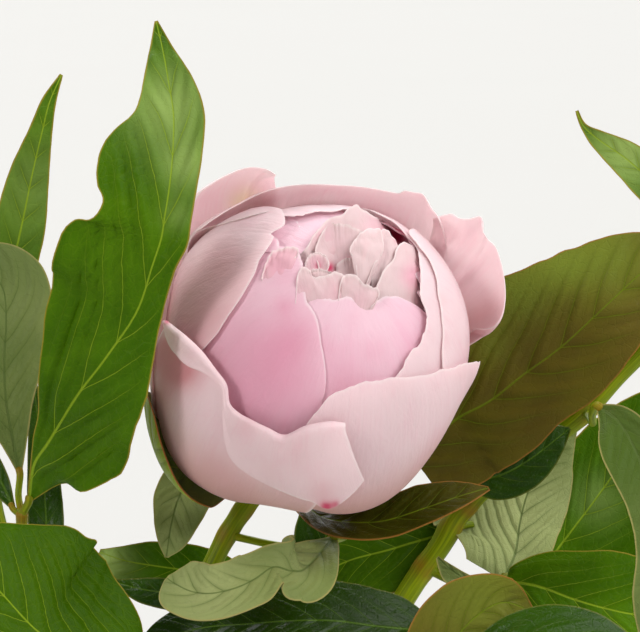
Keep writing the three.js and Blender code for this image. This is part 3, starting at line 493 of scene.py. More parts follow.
# ---- petals and sepals: shells on nested spheres, which fan out from the stalk's ring ----
# layer: how many layers it lies inside the outermost whole one. base: [middle, half width] around the axis
# where it starts, in degrees. rim: its points from one side to the other, each [around, rise, flare beyond
# the layer], or Seen, the photograph's pixel where the point shows, and its flare. tatter: how uneven the
# rim is, in degrees. wave: how far it ripples, in millimetres. flare_from: how far up the flare starts.
# opens_late: whether it spreads sideways only near its rim.
Shell = namedtuple("Shell", "layer base rim tatter wave flare_from opens_late", defaults=(0, 0, 0.5, False))
Seen = namedtuple("Seen", "x y flare")
PETALS = {
    "guard_petal_front_right": Shell(1, [25, 28], tatter=1.2, wave=0.5, rim=[
        [-25, 110, 0], [-21, 123, -0.3], [-15, 131, -0.8], [-2, 136, -1.4], [10, 136, -1.6],
        [26, 133.5, -1.4], Seen(441, 370, -0.6), Seen(455, 366, -0.1), Seen(468, 363, 0.5),
        [73, 103.5, 2.2]]),
    "guard_petal_left": Shell(-1.1, [-108, 12], tatter=0.5, wave=0.1, rim=[
        [-134, 82, 0], [-126, 96, 0.4], [-114, 100, 0.4], [-102, 97, 0.2], [-92, 88, 0], [-84, 72, 0]]),
    "guard_petal_back_left": Shell(-1, [-153, 12], tatter=0.3, wave=0.5, rim=[
        [-171, 104, 1.5], [-173, 103, 2], Seen(276, 176, 3), Seen(266, 168, 5.6), Seen(250, 168, 7),
        Seen(226, 175, 7.4), Seen(206, 187, 6.7), Seen(196, 200, 4.9), Seen(190, 215, 2.5),
        [-134, 94, 1.5]]),
    "guard_petal_back_low": Shell(0, [158, 14], tatter=0.8, wave=0.5, rim=[
        [130, 84, 2], [137, 96, 4.5], [148, 101, 5.5], [160, 102, 6], [172, 100, 5.5], [181, 94, 4.5],
        [186, 82, 2]]),
    "guard_petal_right": Shell(1.4, [108, 14], opens_late=True, flare_from=0.8, tatter=0.5, wave=0.7, rim=[
        [90, 99, 1], [82.5, 111, 6.4], [89, 113, 10.2], [97.5, 117, 12.6], [105, 120, 13.4],
        [109.5, 119.5, 12.8], [111, 122.5, 12.8], [114.7, 124, 14.6], [117, 124.5, 12], [119.6, 125, 9.6],
        [123, 125.5, 8.8], [129, 118, 5.2]]),
    "guard_petal_back": Shell(1, [158, 20], tatter=0.7, wave=0.5, rim=[
        [119, 108, 1.9], [123, 124.5, 4.2], [126, 126, 5.4], [130.4, 127, 6.2], [135.4, 128, 7.8],
        [138.5, 128, 7.2], [142.2, 127.5, 6], [144.5, 123, 4.6], [149.6, 123, 4], [156, 127, 2.9],
        [166, 127.5, 1.9], [174, 127, 1.9], [183, 125, 1.8], Seen(285, 187, 1.8), Seen(260, 194, 1.6),
        Seen(241, 202, 1.2), Seen(217, 216, 1), Seen(200, 228, 1), [225, 99, 1.2]]),
    "shaded_petal_left": Shell(2, [-115, 18], tatter=0.3, wave=0.3, rim=[
        [-132, 96, 0], Seen(192, 236, 1.9), Seen(208, 227, 0.8), Seen(222, 223.5, 0),
        Seen(238, 219.5, -0.2), Seen(254, 215.5, -0.3), Seen(270, 211.5, -0.4), Seen(281, 209.5, -0.5),
        Seen(285, 218, -0.8), Seen(284, 226, -1), Seen(271, 233.4, -1), Seen(274, 237, -1),
        Seen(268, 248.5, -1.1), Seen(260, 259, -1.2), Seen(254, 274.6, -1.2), Seen(241, 298, -1.2),
        Seen(226, 320, -1.2), Seen(217, 334, -1.1), Seen(206, 346, -0.8)]),
    "folded_petal_right": Shell(2, [88, 20], tatter=0.5, wave=0.12, rim=[
        [43, 108, 0], [47, 127, -0.5], [60, 136, -0.9], [78, 142, -1], [99, 142, -0.9], [115, 143, -0.8],
        [127, 140, -0.6], [130, 122, -0.2]]),
    "opening_petal_right": Shell(3.3, [105, 24], tatter=2.0, wave=0.3, rim=[
        [9, 130.5, 0], [16.5, 134.5, 0], [28, 139.5, 0], [41, 142, 0], [53.5, 144.5, 0], [63, 147.5, 0.1],
        [75, 151.5, 0], [96, 149, -0.1], [113, 144.5, 0], [128.5, 141, 0], [142, 136, 0], [151, 133, 0],
        [157, 124, 0]]),
    "opening_petal_back": Shell(3.6, [193, 16], tatter=1.5, wave=0.3, rim=[
        [154, 128, 0], [162, 136, -0.3], [172, 141, -0.8], [184, 141, -1], [196, 141, -1], [205, 136, -0.5],
        [208, 124, 0]]),
    "rose_petal_left": Shell(4, [-60, 22], tatter=1.4, wave=0.2, rim=[
        [-90, 119, -0.2], [-93, 132, -0.2], [-104, 140.5, -0.3], [-119, 144, -0.2], [-132, 144, 0.2],
        [-130, 148.5, 0.4], [-118, 152.5, 0.2], Seen(287, 249, 0), Seen(297, 250, 0), Seen(303, 258, -0.1),
        Seen(306, 272, -0.2), Seen(307, 286, -0.3), Seen(308, 298, -0.3), [-40, 155, -0.3],
        [-28, 147, -0.4], [-20, 136, -0.4], [-19, 124, -0.3], [-25.5, 111, 0]]),
    "rose_petal_front": Shell(5, [5, 24], tatter=1.4, wave=0.4, rim=[
        [-53, 142.5, 0], [-55, 152, 0], [-63, 159.5, 0], [-53, 163.5, 0.2], [-38, 164.5, 0.3],
        [-15, 168, 0.2], [16.5, 165, 0], [48, 163, 0.2], [58.5, 158.5, 0.3], [62.5, 153.5, 0.3],
        [65, 148.5, 0.2], [63.5, 143.5, 0], [58.5, 136.5, 0]]),
    "ragged_petal_right": Shell(5, [107, 15], tatter=3.5, wave=0.5, rim=[
        [65, 136, 0], [67, 144.5, 0], [80, 149.5, 0.2], [97, 149, 0.3], [108.5, 141, 0.2], [120, 137, 0.4],
        [134, 135, 0.2], [150, 133, 0]]),
    "core_petal_left": Shell(5.6, [-90, 15], tatter=3.0, wave=0.5, rim=[
        [-135, 137, 0], [-147, 135.5, 0.3], [-157, 135.5, 0.5], [-160, 143.5, 0.2], [-150, 153, -0.6],
        [-134, 160, -1], [-118, 166, -1], [-80, 167, -1], [-58, 163, -0.8], [-50, 153, 0]]),
    "core_petal_back": Shell(5.2, [200, 15], tatter=2.5, wave=0.5, rim=[
        [156, 132, 0], [168, 145, 0], [184, 156, -0.6], [206, 161.5, -1], [230, 160, -0.8], [242, 153, 0],
        [244.5, 145.5, 0], [243, 137.5, 0]]),
    "core_petal_front": Shell(7, [0, 20], tatter=3.0, wave=0.5, rim=[
        [-45, 136, 0], [-41, 149, 0], [-20, 158, 0], [5, 160, 0], [30, 158, 0], [46, 149, 0],
        [49, 137, 0]]),
}
ROSE_PETALS = ("rose_petal_left", "rose_petal_front", "ragged_petal_right", "core_petal_left",
               "core_petal_back", "core_petal_front")


def back_sepal(layer, middle):
    rim = [[middle + turn, rise, flare] for turn, rise, flare in
           ((-20, 48, 0.3), (-12, 60, 1.3), (0, 64, 2.3), (12, 60, 1.3), (20, 48, 0.3))]
    return Shell(layer, [middle, 14], rim)


SEPALS = {
    "sepal_left": Shell(-2.4, [-66, 14], rim=[
        [-96, 60, 0.2], [-89, 74, 0.4], [-81, 82, 0.6], [-73, 82, 0.6], [-66, 77, 0.6], [-60, 71, 0.5],
        [-53, 63.5, 0.4], [-46, 54, 0.2]]),
    "sepal_right": Shell(-2, [92, 14], rim=[
        [72, 50, 0.3], [78, 62, 0.8], [90, 66, 1.8], [102, 62, 1.3], [110, 50, 0.3]]),
    "sepal_back": back_sepal(-1.7, 150),
    "sepal_back_left": back_sepal(-1.9, -148),
}
PETAL_ROWS, PETAL_COLUMNS = 44, 56
SEPAL_ROWS, SEPAL_COLUMNS = 26, 26
PETAL_RIM, PETAL_RIM_SHARE = 4, 0.45   # how wide the thinner rim is, and its edge's share of the thickness
LEAF_RIM, LEAF_RIM_SHARE = 2, 0.5
SURFACE_WAVE = 0.22
TATTER_WIDTHS = 7, 2.6   # of the rim's large and small tatters, in hundredths of the rim
FAN_ROW = 0.75   # how far up a petal its lengthwise veins are spaced
PETAL_SEED, LEAF_SEED, STEM_SEED = 13.7, 5.3, 3.1   # between the tissue of one seed and the next

# Marks on petals and leaves, by the photograph's pixels: [x, y, radius, strength]. On the folded petal,
# those of its body are listed apart from those of its lapel.
YELLOW_MARKS = {"guard_petal_back_left": [[247, 199, 13, 0.5], [236, 203, 10, 0.3]]}
# Crimson marks: the petals' own crimson on the lapel's tips, and painted shade, dark crimson, in the hollows
# of the opening.
CRIMSON_AND_HOLLOW_SHADE_MARKS = {
    "guard_petal_front_left": [[326, 507, 5.5, 1.3], [335, 504, 4, 0.8], [167, 322, 3, 0.9]],
    "centre_petal_10": [[396, 236, 11, 1.2], [330, 266, 5, 0.9]],
    "centre_petal_5": [[329, 268, 5, 1.0], [353, 262, 6, 0.35]],
    "centre_petal_8": [[318, 266, 3, 0.7]],
    "centre_petal_7": [[398, 240, 4, 0.5]],
    "core_petal_back": [[392, 232, 10, 0.9]],
    "ragged_petal_right": [[399, 238, 8, 0.5]],
    "opening_petal_right": [[402, 237, 4, 0.3]],
}
# Flush marks: a deeper pink that is partly the petals' own flush and partly painted shade: the upright leaf's
# cast shadow on shaded_petal_left, the shadow under the lapel's rolled rim, the lapel's shadow on
# rose_petal_left, guard_petal_right's shaded lower lobe and shade deep in the opening.
FLUSH_AND_SHADE_MARKS = {
    "rose_petal_left": [
        [268, 370, 56, 0.75], [294, 336, 24, 0.35], [285, 275, 14, 0.25], [240, 330, 24, 0.15],
        [285, 306, 10, 0.4]],
    "rose_petal_front": [
        [338, 378, 24, 0.4], [322, 345, 14, 0.35], [376, 352, 16, 0.3], [352, 320, 9, 0.2]],
    # painted shadow of the upright leaf
    "shaded_petal_left": [[196, 310, 44, 0.55], [225, 262, 30, 0.4]],
    "guard_petal_front_left": [
        [246, 424, 9, 0.15], [300, 455, 16, 0.1], [322, 494, 14, 0.3], [270, 470, 12, 0.1]],
    # painted shadow under the lapel's rolled rim
    "guard_petal_front_left body": [
        [180, 368, 20, 1.3], [166, 352, 18, 1.2], [158, 395, 16, 0.5], [218, 465, 16, 0.2],
        [190, 480, 26, 0.12], [236, 485, 18, 0.2]],
    "guard_petal_front_right": [[460, 372, 10, 0.15], [395, 384, 12, 0.08], [440, 440, 8, 0.08]],
    # painted shade on the lobe's lower half
    "guard_petal_right": [[488, 314, 20, 0.55], [470, 322, 14, 0.4], [455, 236, 10, 0.1]],
    "guard_petal_back": [[225, 214, 12, 0.15], [258, 200, 14, 0.2], [300, 197, 16, 0.1]],
    "folded_petal_right": [[440, 300, 7, 0.15], [442, 340, 7, 0.2], [470, 345, 12, 0.1]],
    "core_petal_left": [[312, 290, 14, 0.4]],
    "centre_petal_1": [[300, 290, 12, 0.4], [330, 296, 14, 0.35]],
    "centre_petal_5": [[338, 242, 15, 0.2], [346, 268, 9, 0.7]],
    "centre_petal_6": [[360, 300, 14, 0.35]],
    "centre_petal_8": [[317, 264, 9, 0.7]],
    "centre_petal_9": [[411, 275, 12, 0.8]],
    "centre_petal_10": [[322, 236, 12, 0.4], [374, 224, 12, 0.4], [398, 236, 14, 0.7]],
    "centre_petal_3": [[352, 266, 8, 0.6]],
    "centre_petal_11": [[280, 268, 26, 0.85]],
}
# Painted sheen: paler patches where the leaves would catch a broad highlight.
PAINTED_SHEEN_MARKS = {
    "leaf_upright": [[170, 105, 40, 0.6], [188, 165, 26, 0.5], [178, 215, 16, 0.25]],
    "leaf_back_left": [[35, 190, 60, 0.25]],
    "leaf_pale_right": [[510, 510, 70, 0.8]],
    "leaf_broad_right": [
        [612, 255, 44, 0.6], [512, 292, 36, 0.8], [560, 265, 30, 0.55], [490, 345, 22, 0.4]],
    "leaf_olive_low": [[480, 600, 60, 0.5]],
    "leaf_curled": [[205, 590, 50, 0.6], [300, 560, 22, 0.35]],
    "leaf_top_right": [[628, 150, 40, 0.65]],
    "leaf_withered": [[170, 510, 40, 0.6]],
    "leaf_back_low_left": [[110, 562, 22, 0.9]],
    "leaf_far_right": [[600, 500, 26, 0.3]],
    "leaf_left": [[30, 310, 30, 0.15]],
}
# Painted shade on leaves under the bloom and behind other leaves; on leaf_left and leaf_hanging_right the
# marks also deepen the leaf's own darker green.
SHADE_AND_DARK_TONE_MARKS = {
    "leaf_hanging_right": [[620, 440, 120, 0.85]],
    "leaf_broad_right": [[545, 345, 46, 0.15], [480, 435, 60, 0.3]],
    "bract": [[400, 505, 110, 0.95]],
    "leaf_back_centre": [[340, 560, 60, 0.75]],
    "leaf_upright": [[70, 450, 50, 0.3]],
    "leaf_left": [[10, 420, 60, 0.3]],
    "leaf_behind_stem": [[380, 560, 80, 0.6]],
    "leaf_low_left": [[60, 600, 140, 0.45]],
    "leaf_glossy_low": [[300, 600, 200, 0.7]],
}


def marks(table, name, points):
    """The strength of a piece's marks at each point of its grid."""
    x, y = pixel_of(points)
    total = np.zeros(points.shape[:-1])
    for mark_x, mark_y, radius, strength in table.get(name, []):
        total += strength * np.exp(-((x - mark_x) ** 2 + (y - mark_y) ** 2) / radius ** 2)
    return np.clip(total, 0, 1)


def petal_fields(name, grid, rim, seed):
    """What the petal's shader reads: millimetres over the petal, its foot, its rim and its marks, which paint
    shade as well as colour.
    """
    along_mm, across_mm, _ = distances(grid)
    widest = across_mm[int(len(grid) * FAN_ROW)]
    return {
        "grain": with_seed(np.broadcast_to(widest, along_mm.shape), along_mm, seed * PETAL_SEED),
        "foot": along_mm,
        "rim": rim,
        "flush": marks(FLUSH_AND_SHADE_MARKS, name, grid),
        "yellow": marks(YELLOW_MARKS, name, grid),
        "crimson_and_hollow_shade": marks(CRIMSON_AND_HOLLOW_SHADE_MARKS, name, grid),
    }


def rim_distance(grid):
    """Millimetres from each point of the grid to the rim and the sides."""
    along_mm, _, across_mm = distances(grid)
    to_side = np.minimum(across_mm, across_mm[:, -1:] - across_mm)
    return np.minimum(along_mm[-1] - along_mm, to_side)


def petal_sheet(name, grid, rim, fields, shader):
    """A petal's solid. It thins towards its rim."""
    thickness = PETAL_THICKNESS * mix(PETAL_RIM_SHARE, 1.0, smooth(rim, 0, PETAL_RIM))
    sheet(name, grid, thickness, fields, shader)


def rim_rows(points, radius, middle):
    """A rim's points as [around, rise, flare], with around within half a turn of the petal's middle."""
    rows = []
    for point in points:
        if isinstance(point, Seen):
            around, rise = bloom_angles(point.x, point.y, radius + point.flare)
            point = [middle + (around - middle + 180) % 360 - 180, rise, point.flare]
        rows.append(point)
    return rows


def shell_grid(spec, seed, rows, columns):
    """A petal's points. Ripples and tatters grow towards the rim, so the layers stay clear of each other."""
    radius = BLOOM_RADIUS - spec.layer * LAYER_STEP
    start = math.degrees(math.asin(STALK_RING / radius))
    middle, half = spec.base
    u, v = np.meshgrid(np.linspace(0, 1, rows + 1), np.linspace(0, 1, columns + 1), indexing="ij")
    edge = along(rim_rows(spec.rim, radius, middle), v)
    around, rise, flare = edge[..., 0], edge[..., 1], edge[..., 2]
    spread = u ** 2 if spec.opens_late else 1 - (1 - u) ** 2
    a = mix(middle + half * (2 * v - 1), around, spread)
    large, small = (grain(v * 100, 0 * v, *kind) for kind in zip((seed, seed + 40), TATTER_WIDTHS))
    tatter = spec.tatter * (large + 0.6 * small)
    r = mix(start, rise + (tatter - 0.35 * spec.tatter) * smooth(u, 0.6, 1), u)
    ripple = spec.wave * smooth(u, 0.7, 1) * grain(v * 100, u * 30, seed + 9, 9)
    dimple = SURFACE_WAVE * smooth(u, 0.05, 0.4) * grain(v * 60, u * 60, seed + 3, 12)
    return bloom_point(a, r, radius + flare * smooth(u, spec.flare_from, 1) + ripple + dimple)


def petal(name, spec, seed):
    grid = shell_grid(spec, seed, PETAL_ROWS, PETAL_COLUMNS)
    rim = rim_distance(grid)
    petal_sheet(name, grid, rim, petal_fields(name, grid, rim, seed),
                ROSE_PINK if name in ROSE_PETALS else OUTER_PINK)


# ---- the front left guard petal, whose rim folds over outwards into a wide lapel ----
LAPEL_PETAL = {
    "base": [-46, 24],
    "crease": [Seen(168, 323, 0.5), Seen(184, 337, 0.4), Seen(201, 353, 0), Seen(216, 372, -0.6),
               Seen(226, 386, -1), Seen(229, 404, -1.2), Seen(238, 414, -1.3), Seen(252, 422, -1.2),
               Seen(268, 430, -0.8), Seen(284, 437, -0.3), Seen(304, 429, 0.2), Seen(326, 425, 0.4),
               Seen(344, 425, 0.4)],
    "lapel": [Seen(165, 331, 2), Seen(170, 345, 2), Seen(186, 363, 1.4), Seen(207, 375, 0.5),
              Seen(221, 389, -0.1), Seen(223, 412, -0.2), Seen(225, 436, -0.1), Seen(231, 458, 0.3),
              Seen(250, 474, 0.9), Seen(281, 492, 2.6), Seen(308, 502, 4), Seen(332, 507, 4),
              Seen(364, 480, 2.8)],
    "roll": [1.8, 2.0, 1.8, 1.2, 0.9, 0.9, 1.2, 1.5, 1.8, 2.2, 2.6, 2.8, 2.0],
    "pressed": [0, 0, 0.2, 0.8, 1, 1, 1, 1, 0.7, 0, 0, 0, 0],
}
LAPEL_BODY_ROWS, LAPEL_ROLL_ROWS, LAPEL_ROWS = 34, 10, 30
LAPEL_COLUMNS = 96
LAPEL_AIM, LAPEL_GAP = 0.62, 0.6   # how far the folded-over rim lies above the petal, and at least
LAPEL_DIMPLE, LAPEL_RIPPLE = 0.5, 0.7
LAPEL_SEED = 71


def lapel_petal():
    name, seed = "guard_petal_front_left", LAPEL_SEED
    middle, half = LAPEL_PETAL["base"]
    start = math.degrees(math.asin(STALK_RING / BLOOM_RADIUS))
    v = np.linspace(0, 1, LAPEL_COLUMNS + 1)
    around, rise, flare = along(rim_rows(LAPEL_PETAL["crease"], BLOOM_RADIUS, middle), v).T
    low_around, low_rise, low_flare = along(rim_rows(LAPEL_PETAL["lapel"], BLOOM_RADIUS, middle), v).T
    roll = along(LAPEL_PETAL["roll"], v)
    rows = []
    for u in np.linspace(0, 1, LAPEL_BODY_ROWS + 1):
        beside = mix(middle + half * (2 * v - 1), around, 1 - (1 - u) ** 2)
        dimple = LAPEL_DIMPLE * smooth(u, 0.3, 0.7) * grain(v * 60, np.full_like(v, u * 60), seed, 11)
        rows.append(bloom_point(beside, mix(start, rise, u), BLOOM_RADIUS + flare * u + dimple * (1 - u)))
    for turn in np.linspace(0, math.pi, LAPEL_ROLL_ROWS + 2)[1:-1]:
        lift = np.degrees(roll / 2 / BLOOM_RADIUS) * math.sin(turn)
        rows.append(bloom_point(around, rise + lift, BLOOM_RADIUS + flare + roll / 2 * (1 - math.cos(turn))))
    tatter = 0.7 * grain(v * 100, 0 * v, seed, 9) + 0.3 * grain(v * 100, 0 * v, seed + 5, 3)
    for fold in np.linspace(0.03, 1, LAPEL_ROWS):
        out = mix(flare + roll, np.maximum(low_flare, flare + LAPEL_AIM), smooth(fold, 0, 1))
        out = out + LAPEL_RIPPLE * fold * grain(v * 70, np.full_like(v, fold * 20), seed + 2, 12)
        radius = BLOOM_RADIUS + np.maximum(out, flare + LAPEL_GAP)
        low = mix(rise, low_rise + tatter * fold, fold)
        rows.append(bloom_point(mix(around, low_around, fold), low, radius))
    grid = np.stack(rows)
    rim = rim_distance(grid)
    fields = petal_fields(name, grid, rim, seed)
    body = LAPEL_BODY_ROWS + 1
    # On the body, the flush marks paint the shadow under the rolled rim.
    fields["flush"][:body] = marks(FLUSH_AND_SHADE_MARKS, name + " body", grid[:body])
    fields["crimson_and_hollow_shade"][:body] = 0
    fields["rim"][body:] += 3 * along(LAPEL_PETAL["pressed"], v)
    petal_sheet(name, grid, rim, fields, OUTER_PINK)


# ---- the small petals of the opening: each rises from the receptacle's disc to a crumpled edge ----
# low, edge: where it comes out from behind its neighbours, and its rim, both from one side to the other as
# [x, y, inset]: the photograph's pixels and the millimetres behind the bloom's outer ball.
# bulge: how far its middle stands out. curl: how far the rim turns out. crumple: how uneven it is.
CentrePetal = namedtuple("CentrePetal", "bulge curl crumple low edge")
CENTRE_PETAL_FOOT = -30.6
CENTRE_PETAL_FOOT_REACH = 9.0
CENTRE_PETAL_COLUMNS = 64
CENTRE_PETALS = {
    "centre_petal_1": CentrePetal(1.1, 0.5, 0.59, low=[
        [298, 318, 8], [325, 318, 8.4], [350, 318, 8.6]], edge=[
        [296, 306, 6.2], [296.5, 290, 5.5], [298, 276, 5.1], [303, 268, 5], [309, 271, 5.3],
        [314, 278, 5.8], [325, 276, 6.1], [334, 273.5, 6.2], [342, 276, 6.5], [349, 283, 7.1]]),
    "centre_petal_2": CentrePetal(0.4, 0.3, 0.51, low=[
        [337, 290, 12], [345, 292, 12], [352, 292, 12], [361, 290, 11.5]], edge=[
        [336, 266, 9.6], [342, 261, 9.2], [350, 259, 8.8], [358, 266, 8.4]]),
    "centre_petal_3": CentrePetal(0.4, 0.8, 0.42, low=[
        [311, 285, 7.6], [318, 286, 7.8], [326, 283, 8.1]], edge=[
        [307.5, 279.5, 6.3], [311, 272, 5.7], [318, 270.5, 5.7], [326, 272, 6.2], [333, 274, 6.9]]),
    "centre_petal_4": CentrePetal(1.3, 0.6, 0.85, low=[[358, 294, 8.8], [366, 294, 8.8]], edge=[
        [357, 281, 7.3], [355, 263, 6.3], [349.5, 250, 5.6], [355, 241, 5], [361, 234, 4.5],
        [370, 230.5, 4.2], [378, 232, 4.3], [383, 246, 4.8], [380, 257, 5.3], [373, 266, 5.9],
        [366, 284, 7]]),
    "centre_petal_5": CentrePetal(-1.6, 0.6, 0.51, low=[
        [320, 276, 9], [330, 280, 10.5], [338, 284, 11.5], [345, 286, 11.5], [352, 286, 11],
        [360, 286, 10]], edge=[
        [315, 252, 6.6], [320, 238, 6], [329, 225, 5.4], [337, 225.5, 5.1], [348, 227, 5.1],
        [362, 233, 5.4]]),
    "centre_petal_6": CentrePetal(1.2, 1.0, 0.68, low=[[344, 322, 8.6], [368, 324, 8.8]], edge=[
        [338, 302, 7.3], [340, 284, 6.6], [346, 276.5, 6.2], [356, 279, 5.9], [362, 285, 5.7],
        [370, 288.5, 5.5], [377, 290, 5.5], [377, 298, 5.8], [369, 309, 6.8]]),
    "centre_petal_7": CentrePetal(1.0, 0.5, 0.85, low=[[373, 294, 9.2], [382, 294, 9.2]], edge=[
        [371, 281, 7.8], [373, 268, 7], [377, 250, 6.3], [379, 236, 5.6], [384, 231, 5.2], [392, 239, 5.2],
        [398, 252, 5.5], [394, 261, 6], [385, 271, 6.6], [379, 281, 7.6]]),
    "centre_petal_8": CentrePetal(-1.5, -0.8, 0.51, low=[[309, 280, 8.8], [322, 282, 9]], edge=[
        [306.5, 272, 6.6], [304.5, 262, 5.8], [309, 253.5, 5.4], [318, 250.5, 5.4], [326, 254.5, 5.8],
        [329.5, 263, 6.5], [326, 271, 7.3]]),
    "centre_petal_9": CentrePetal(1.2, 0.5, 0.59, low=[[378, 322, 8.8], [424, 324, 9.4]], edge=[
        [375, 303, 7.4], [375, 290, 6.6], [379, 280, 6], [383, 271, 5.5], [392, 261, 5.1], [395, 251, 4.8],
        [402, 243.5, 4.7], [411, 247, 5.4], [419, 260, 7.4], [425, 281, 8.2], [425, 306, 8.7]]),
    "centre_petal_10": CentrePetal(-1.2, 0.4, 0.68, low=[
        [296, 296, 9.5], [320, 288, 12.5], [345, 284, 13.5], [375, 284, 13], [400, 288, 11],
        [420, 288, 9.4]], edge=[
        [296, 270, 8.6], [300, 256, 7.6], [308, 246, 5.7], [313, 236, 5.1], [320, 229, 4.7],
        [330, 219.5, 4.2], [341, 216.5, 3.9], [349, 210, 3.5], [355, 207.5, 3.3], [362, 210, 3.6],
        [371, 216, 4.6], [384, 222, 6.6], [397, 229, 7.8], [409, 239, 8.2], [418, 252, 8.6],
        [425, 270, 9]]),
    "centre_petal_11": CentrePetal(0.7, 0.9, 0.85, low=[[268, 294, 6.9], [286, 292, 7]], edge=[
        [262, 280, 5.0], [267, 264, 4.5], [275, 253, 4.3], [287, 249.5, 4.5], [298, 250.5, 5.0],
        [297, 258, 5.6], [289, 266, 6.2]]),
}
FOOT_ROWS, FACE_ROWS = 12, 40


def on_bloom(pixels):
    """Points given as [x, y, inset], by the photograph's pixels, near the bloom's outer ball."""
    right = (pixels[..., 0] - PHOTO_WIDTH / 2) * PHOTO_MM_PER_PIXEL
    up = (PHOTO_HEIGHT / 2 - pixels[..., 1]) * PHOTO_MM_PER_PIXEL
    height = up + VIEW_LIFT
    depth = np.sqrt(np.maximum((BLOOM_RADIUS - pixels[..., 2]) ** 2 - right ** 2 - height ** 2, 0))
    return seen(np.stack([right, up, -depth], -1))


def centre_petal(name, spec, seed):
    v = np.linspace(0, 1, CENTRE_PETAL_COLUMNS + 1)
    low, edge = along(spec.low, v), along(spec.edge, v)
    edge[:, 1] += 1.6 * spec.crumple * grain(v * 100, 0 * v, seed, 4)
    u, across = np.meshgrid(np.linspace(0, 1, FACE_ROWS + 1), v, indexing="ij")
    face = on_bloom(mix(low, edge, (1 - (1 - u) ** 1.3)[..., None]))
    outwards = face - BLOOM_CENTRE
    outwards /= np.linalg.norm(outwards, axis=2, keepdims=True)
    x, y = (pixels * PHOTO_MM_PER_PIXEL for pixels in pixel_of(face))
    arch = spec.bulge * np.sin(math.pi * u) ** 0.8 * np.sin(math.pi * across)
    creased = np.abs(grain(x, y, seed + 2, 5)) - 0.2 + 0.4 * grain(x, y, seed + 3, 2.2)
    ruffled = 0.8 * smooth(u, 0.55, 1) * grain(across * 100, u * 8, seed + 4, 7)
    turned = spec.curl * smooth(u, 0.72, 1) ** 2
    face += (arch + turned + spec.crumple * (creased * smooth(u, 0, 0.2) + ruffled))[..., None] * outwards
    start = face[0] - BLOOM_CENTRE
    reach = start - (start @ BLOOM_AXIS)[:, None] * BLOOM_AXIS
    reach *= np.minimum(1, CENTRE_PETAL_FOOT_REACH / np.linalg.norm(reach, axis=1, keepdims=True))
    foot = BLOOM_CENTRE + CENTRE_PETAL_FOOT * BLOOM_AXIS + reach
    rise = np.linspace(0, 1, FOOT_ROWS + 1)[:-1, None, None]
    grid = np.concatenate([mix(foot, face[0], rise), face])
    rim = rim_distance(grid)
    petal_sheet(name, grid, rim, petal_fields(name, grid, rim, seed), CREAM_PINK)


def leaf_thickness(rim):
    return LEAF_THICKNESS * mix(LEAF_RIM_SHARE, 1, smooth(rim, 0, LEAF_RIM))


def sepal(name, spec, seed):
    grid = shell_grid(spec, seed, SEPAL_ROWS, SEPAL_COLUMNS)
    rim = rim_distance(grid)
    along_mm, across_mm, _ = distances(grid)
    off = np.abs(across_mm)
    fields = {
        "grain": with_seed(across_mm, along_mm, seed),
        "order": (along_mm - 1.4 * off) / 9,
        "reach": off / 16,
        "from_rib": off * 1.4,
        "rim": rim,
    }
    sheet(name, grid, leaf_thickness(rim), fields, SEPAL_GREEN)


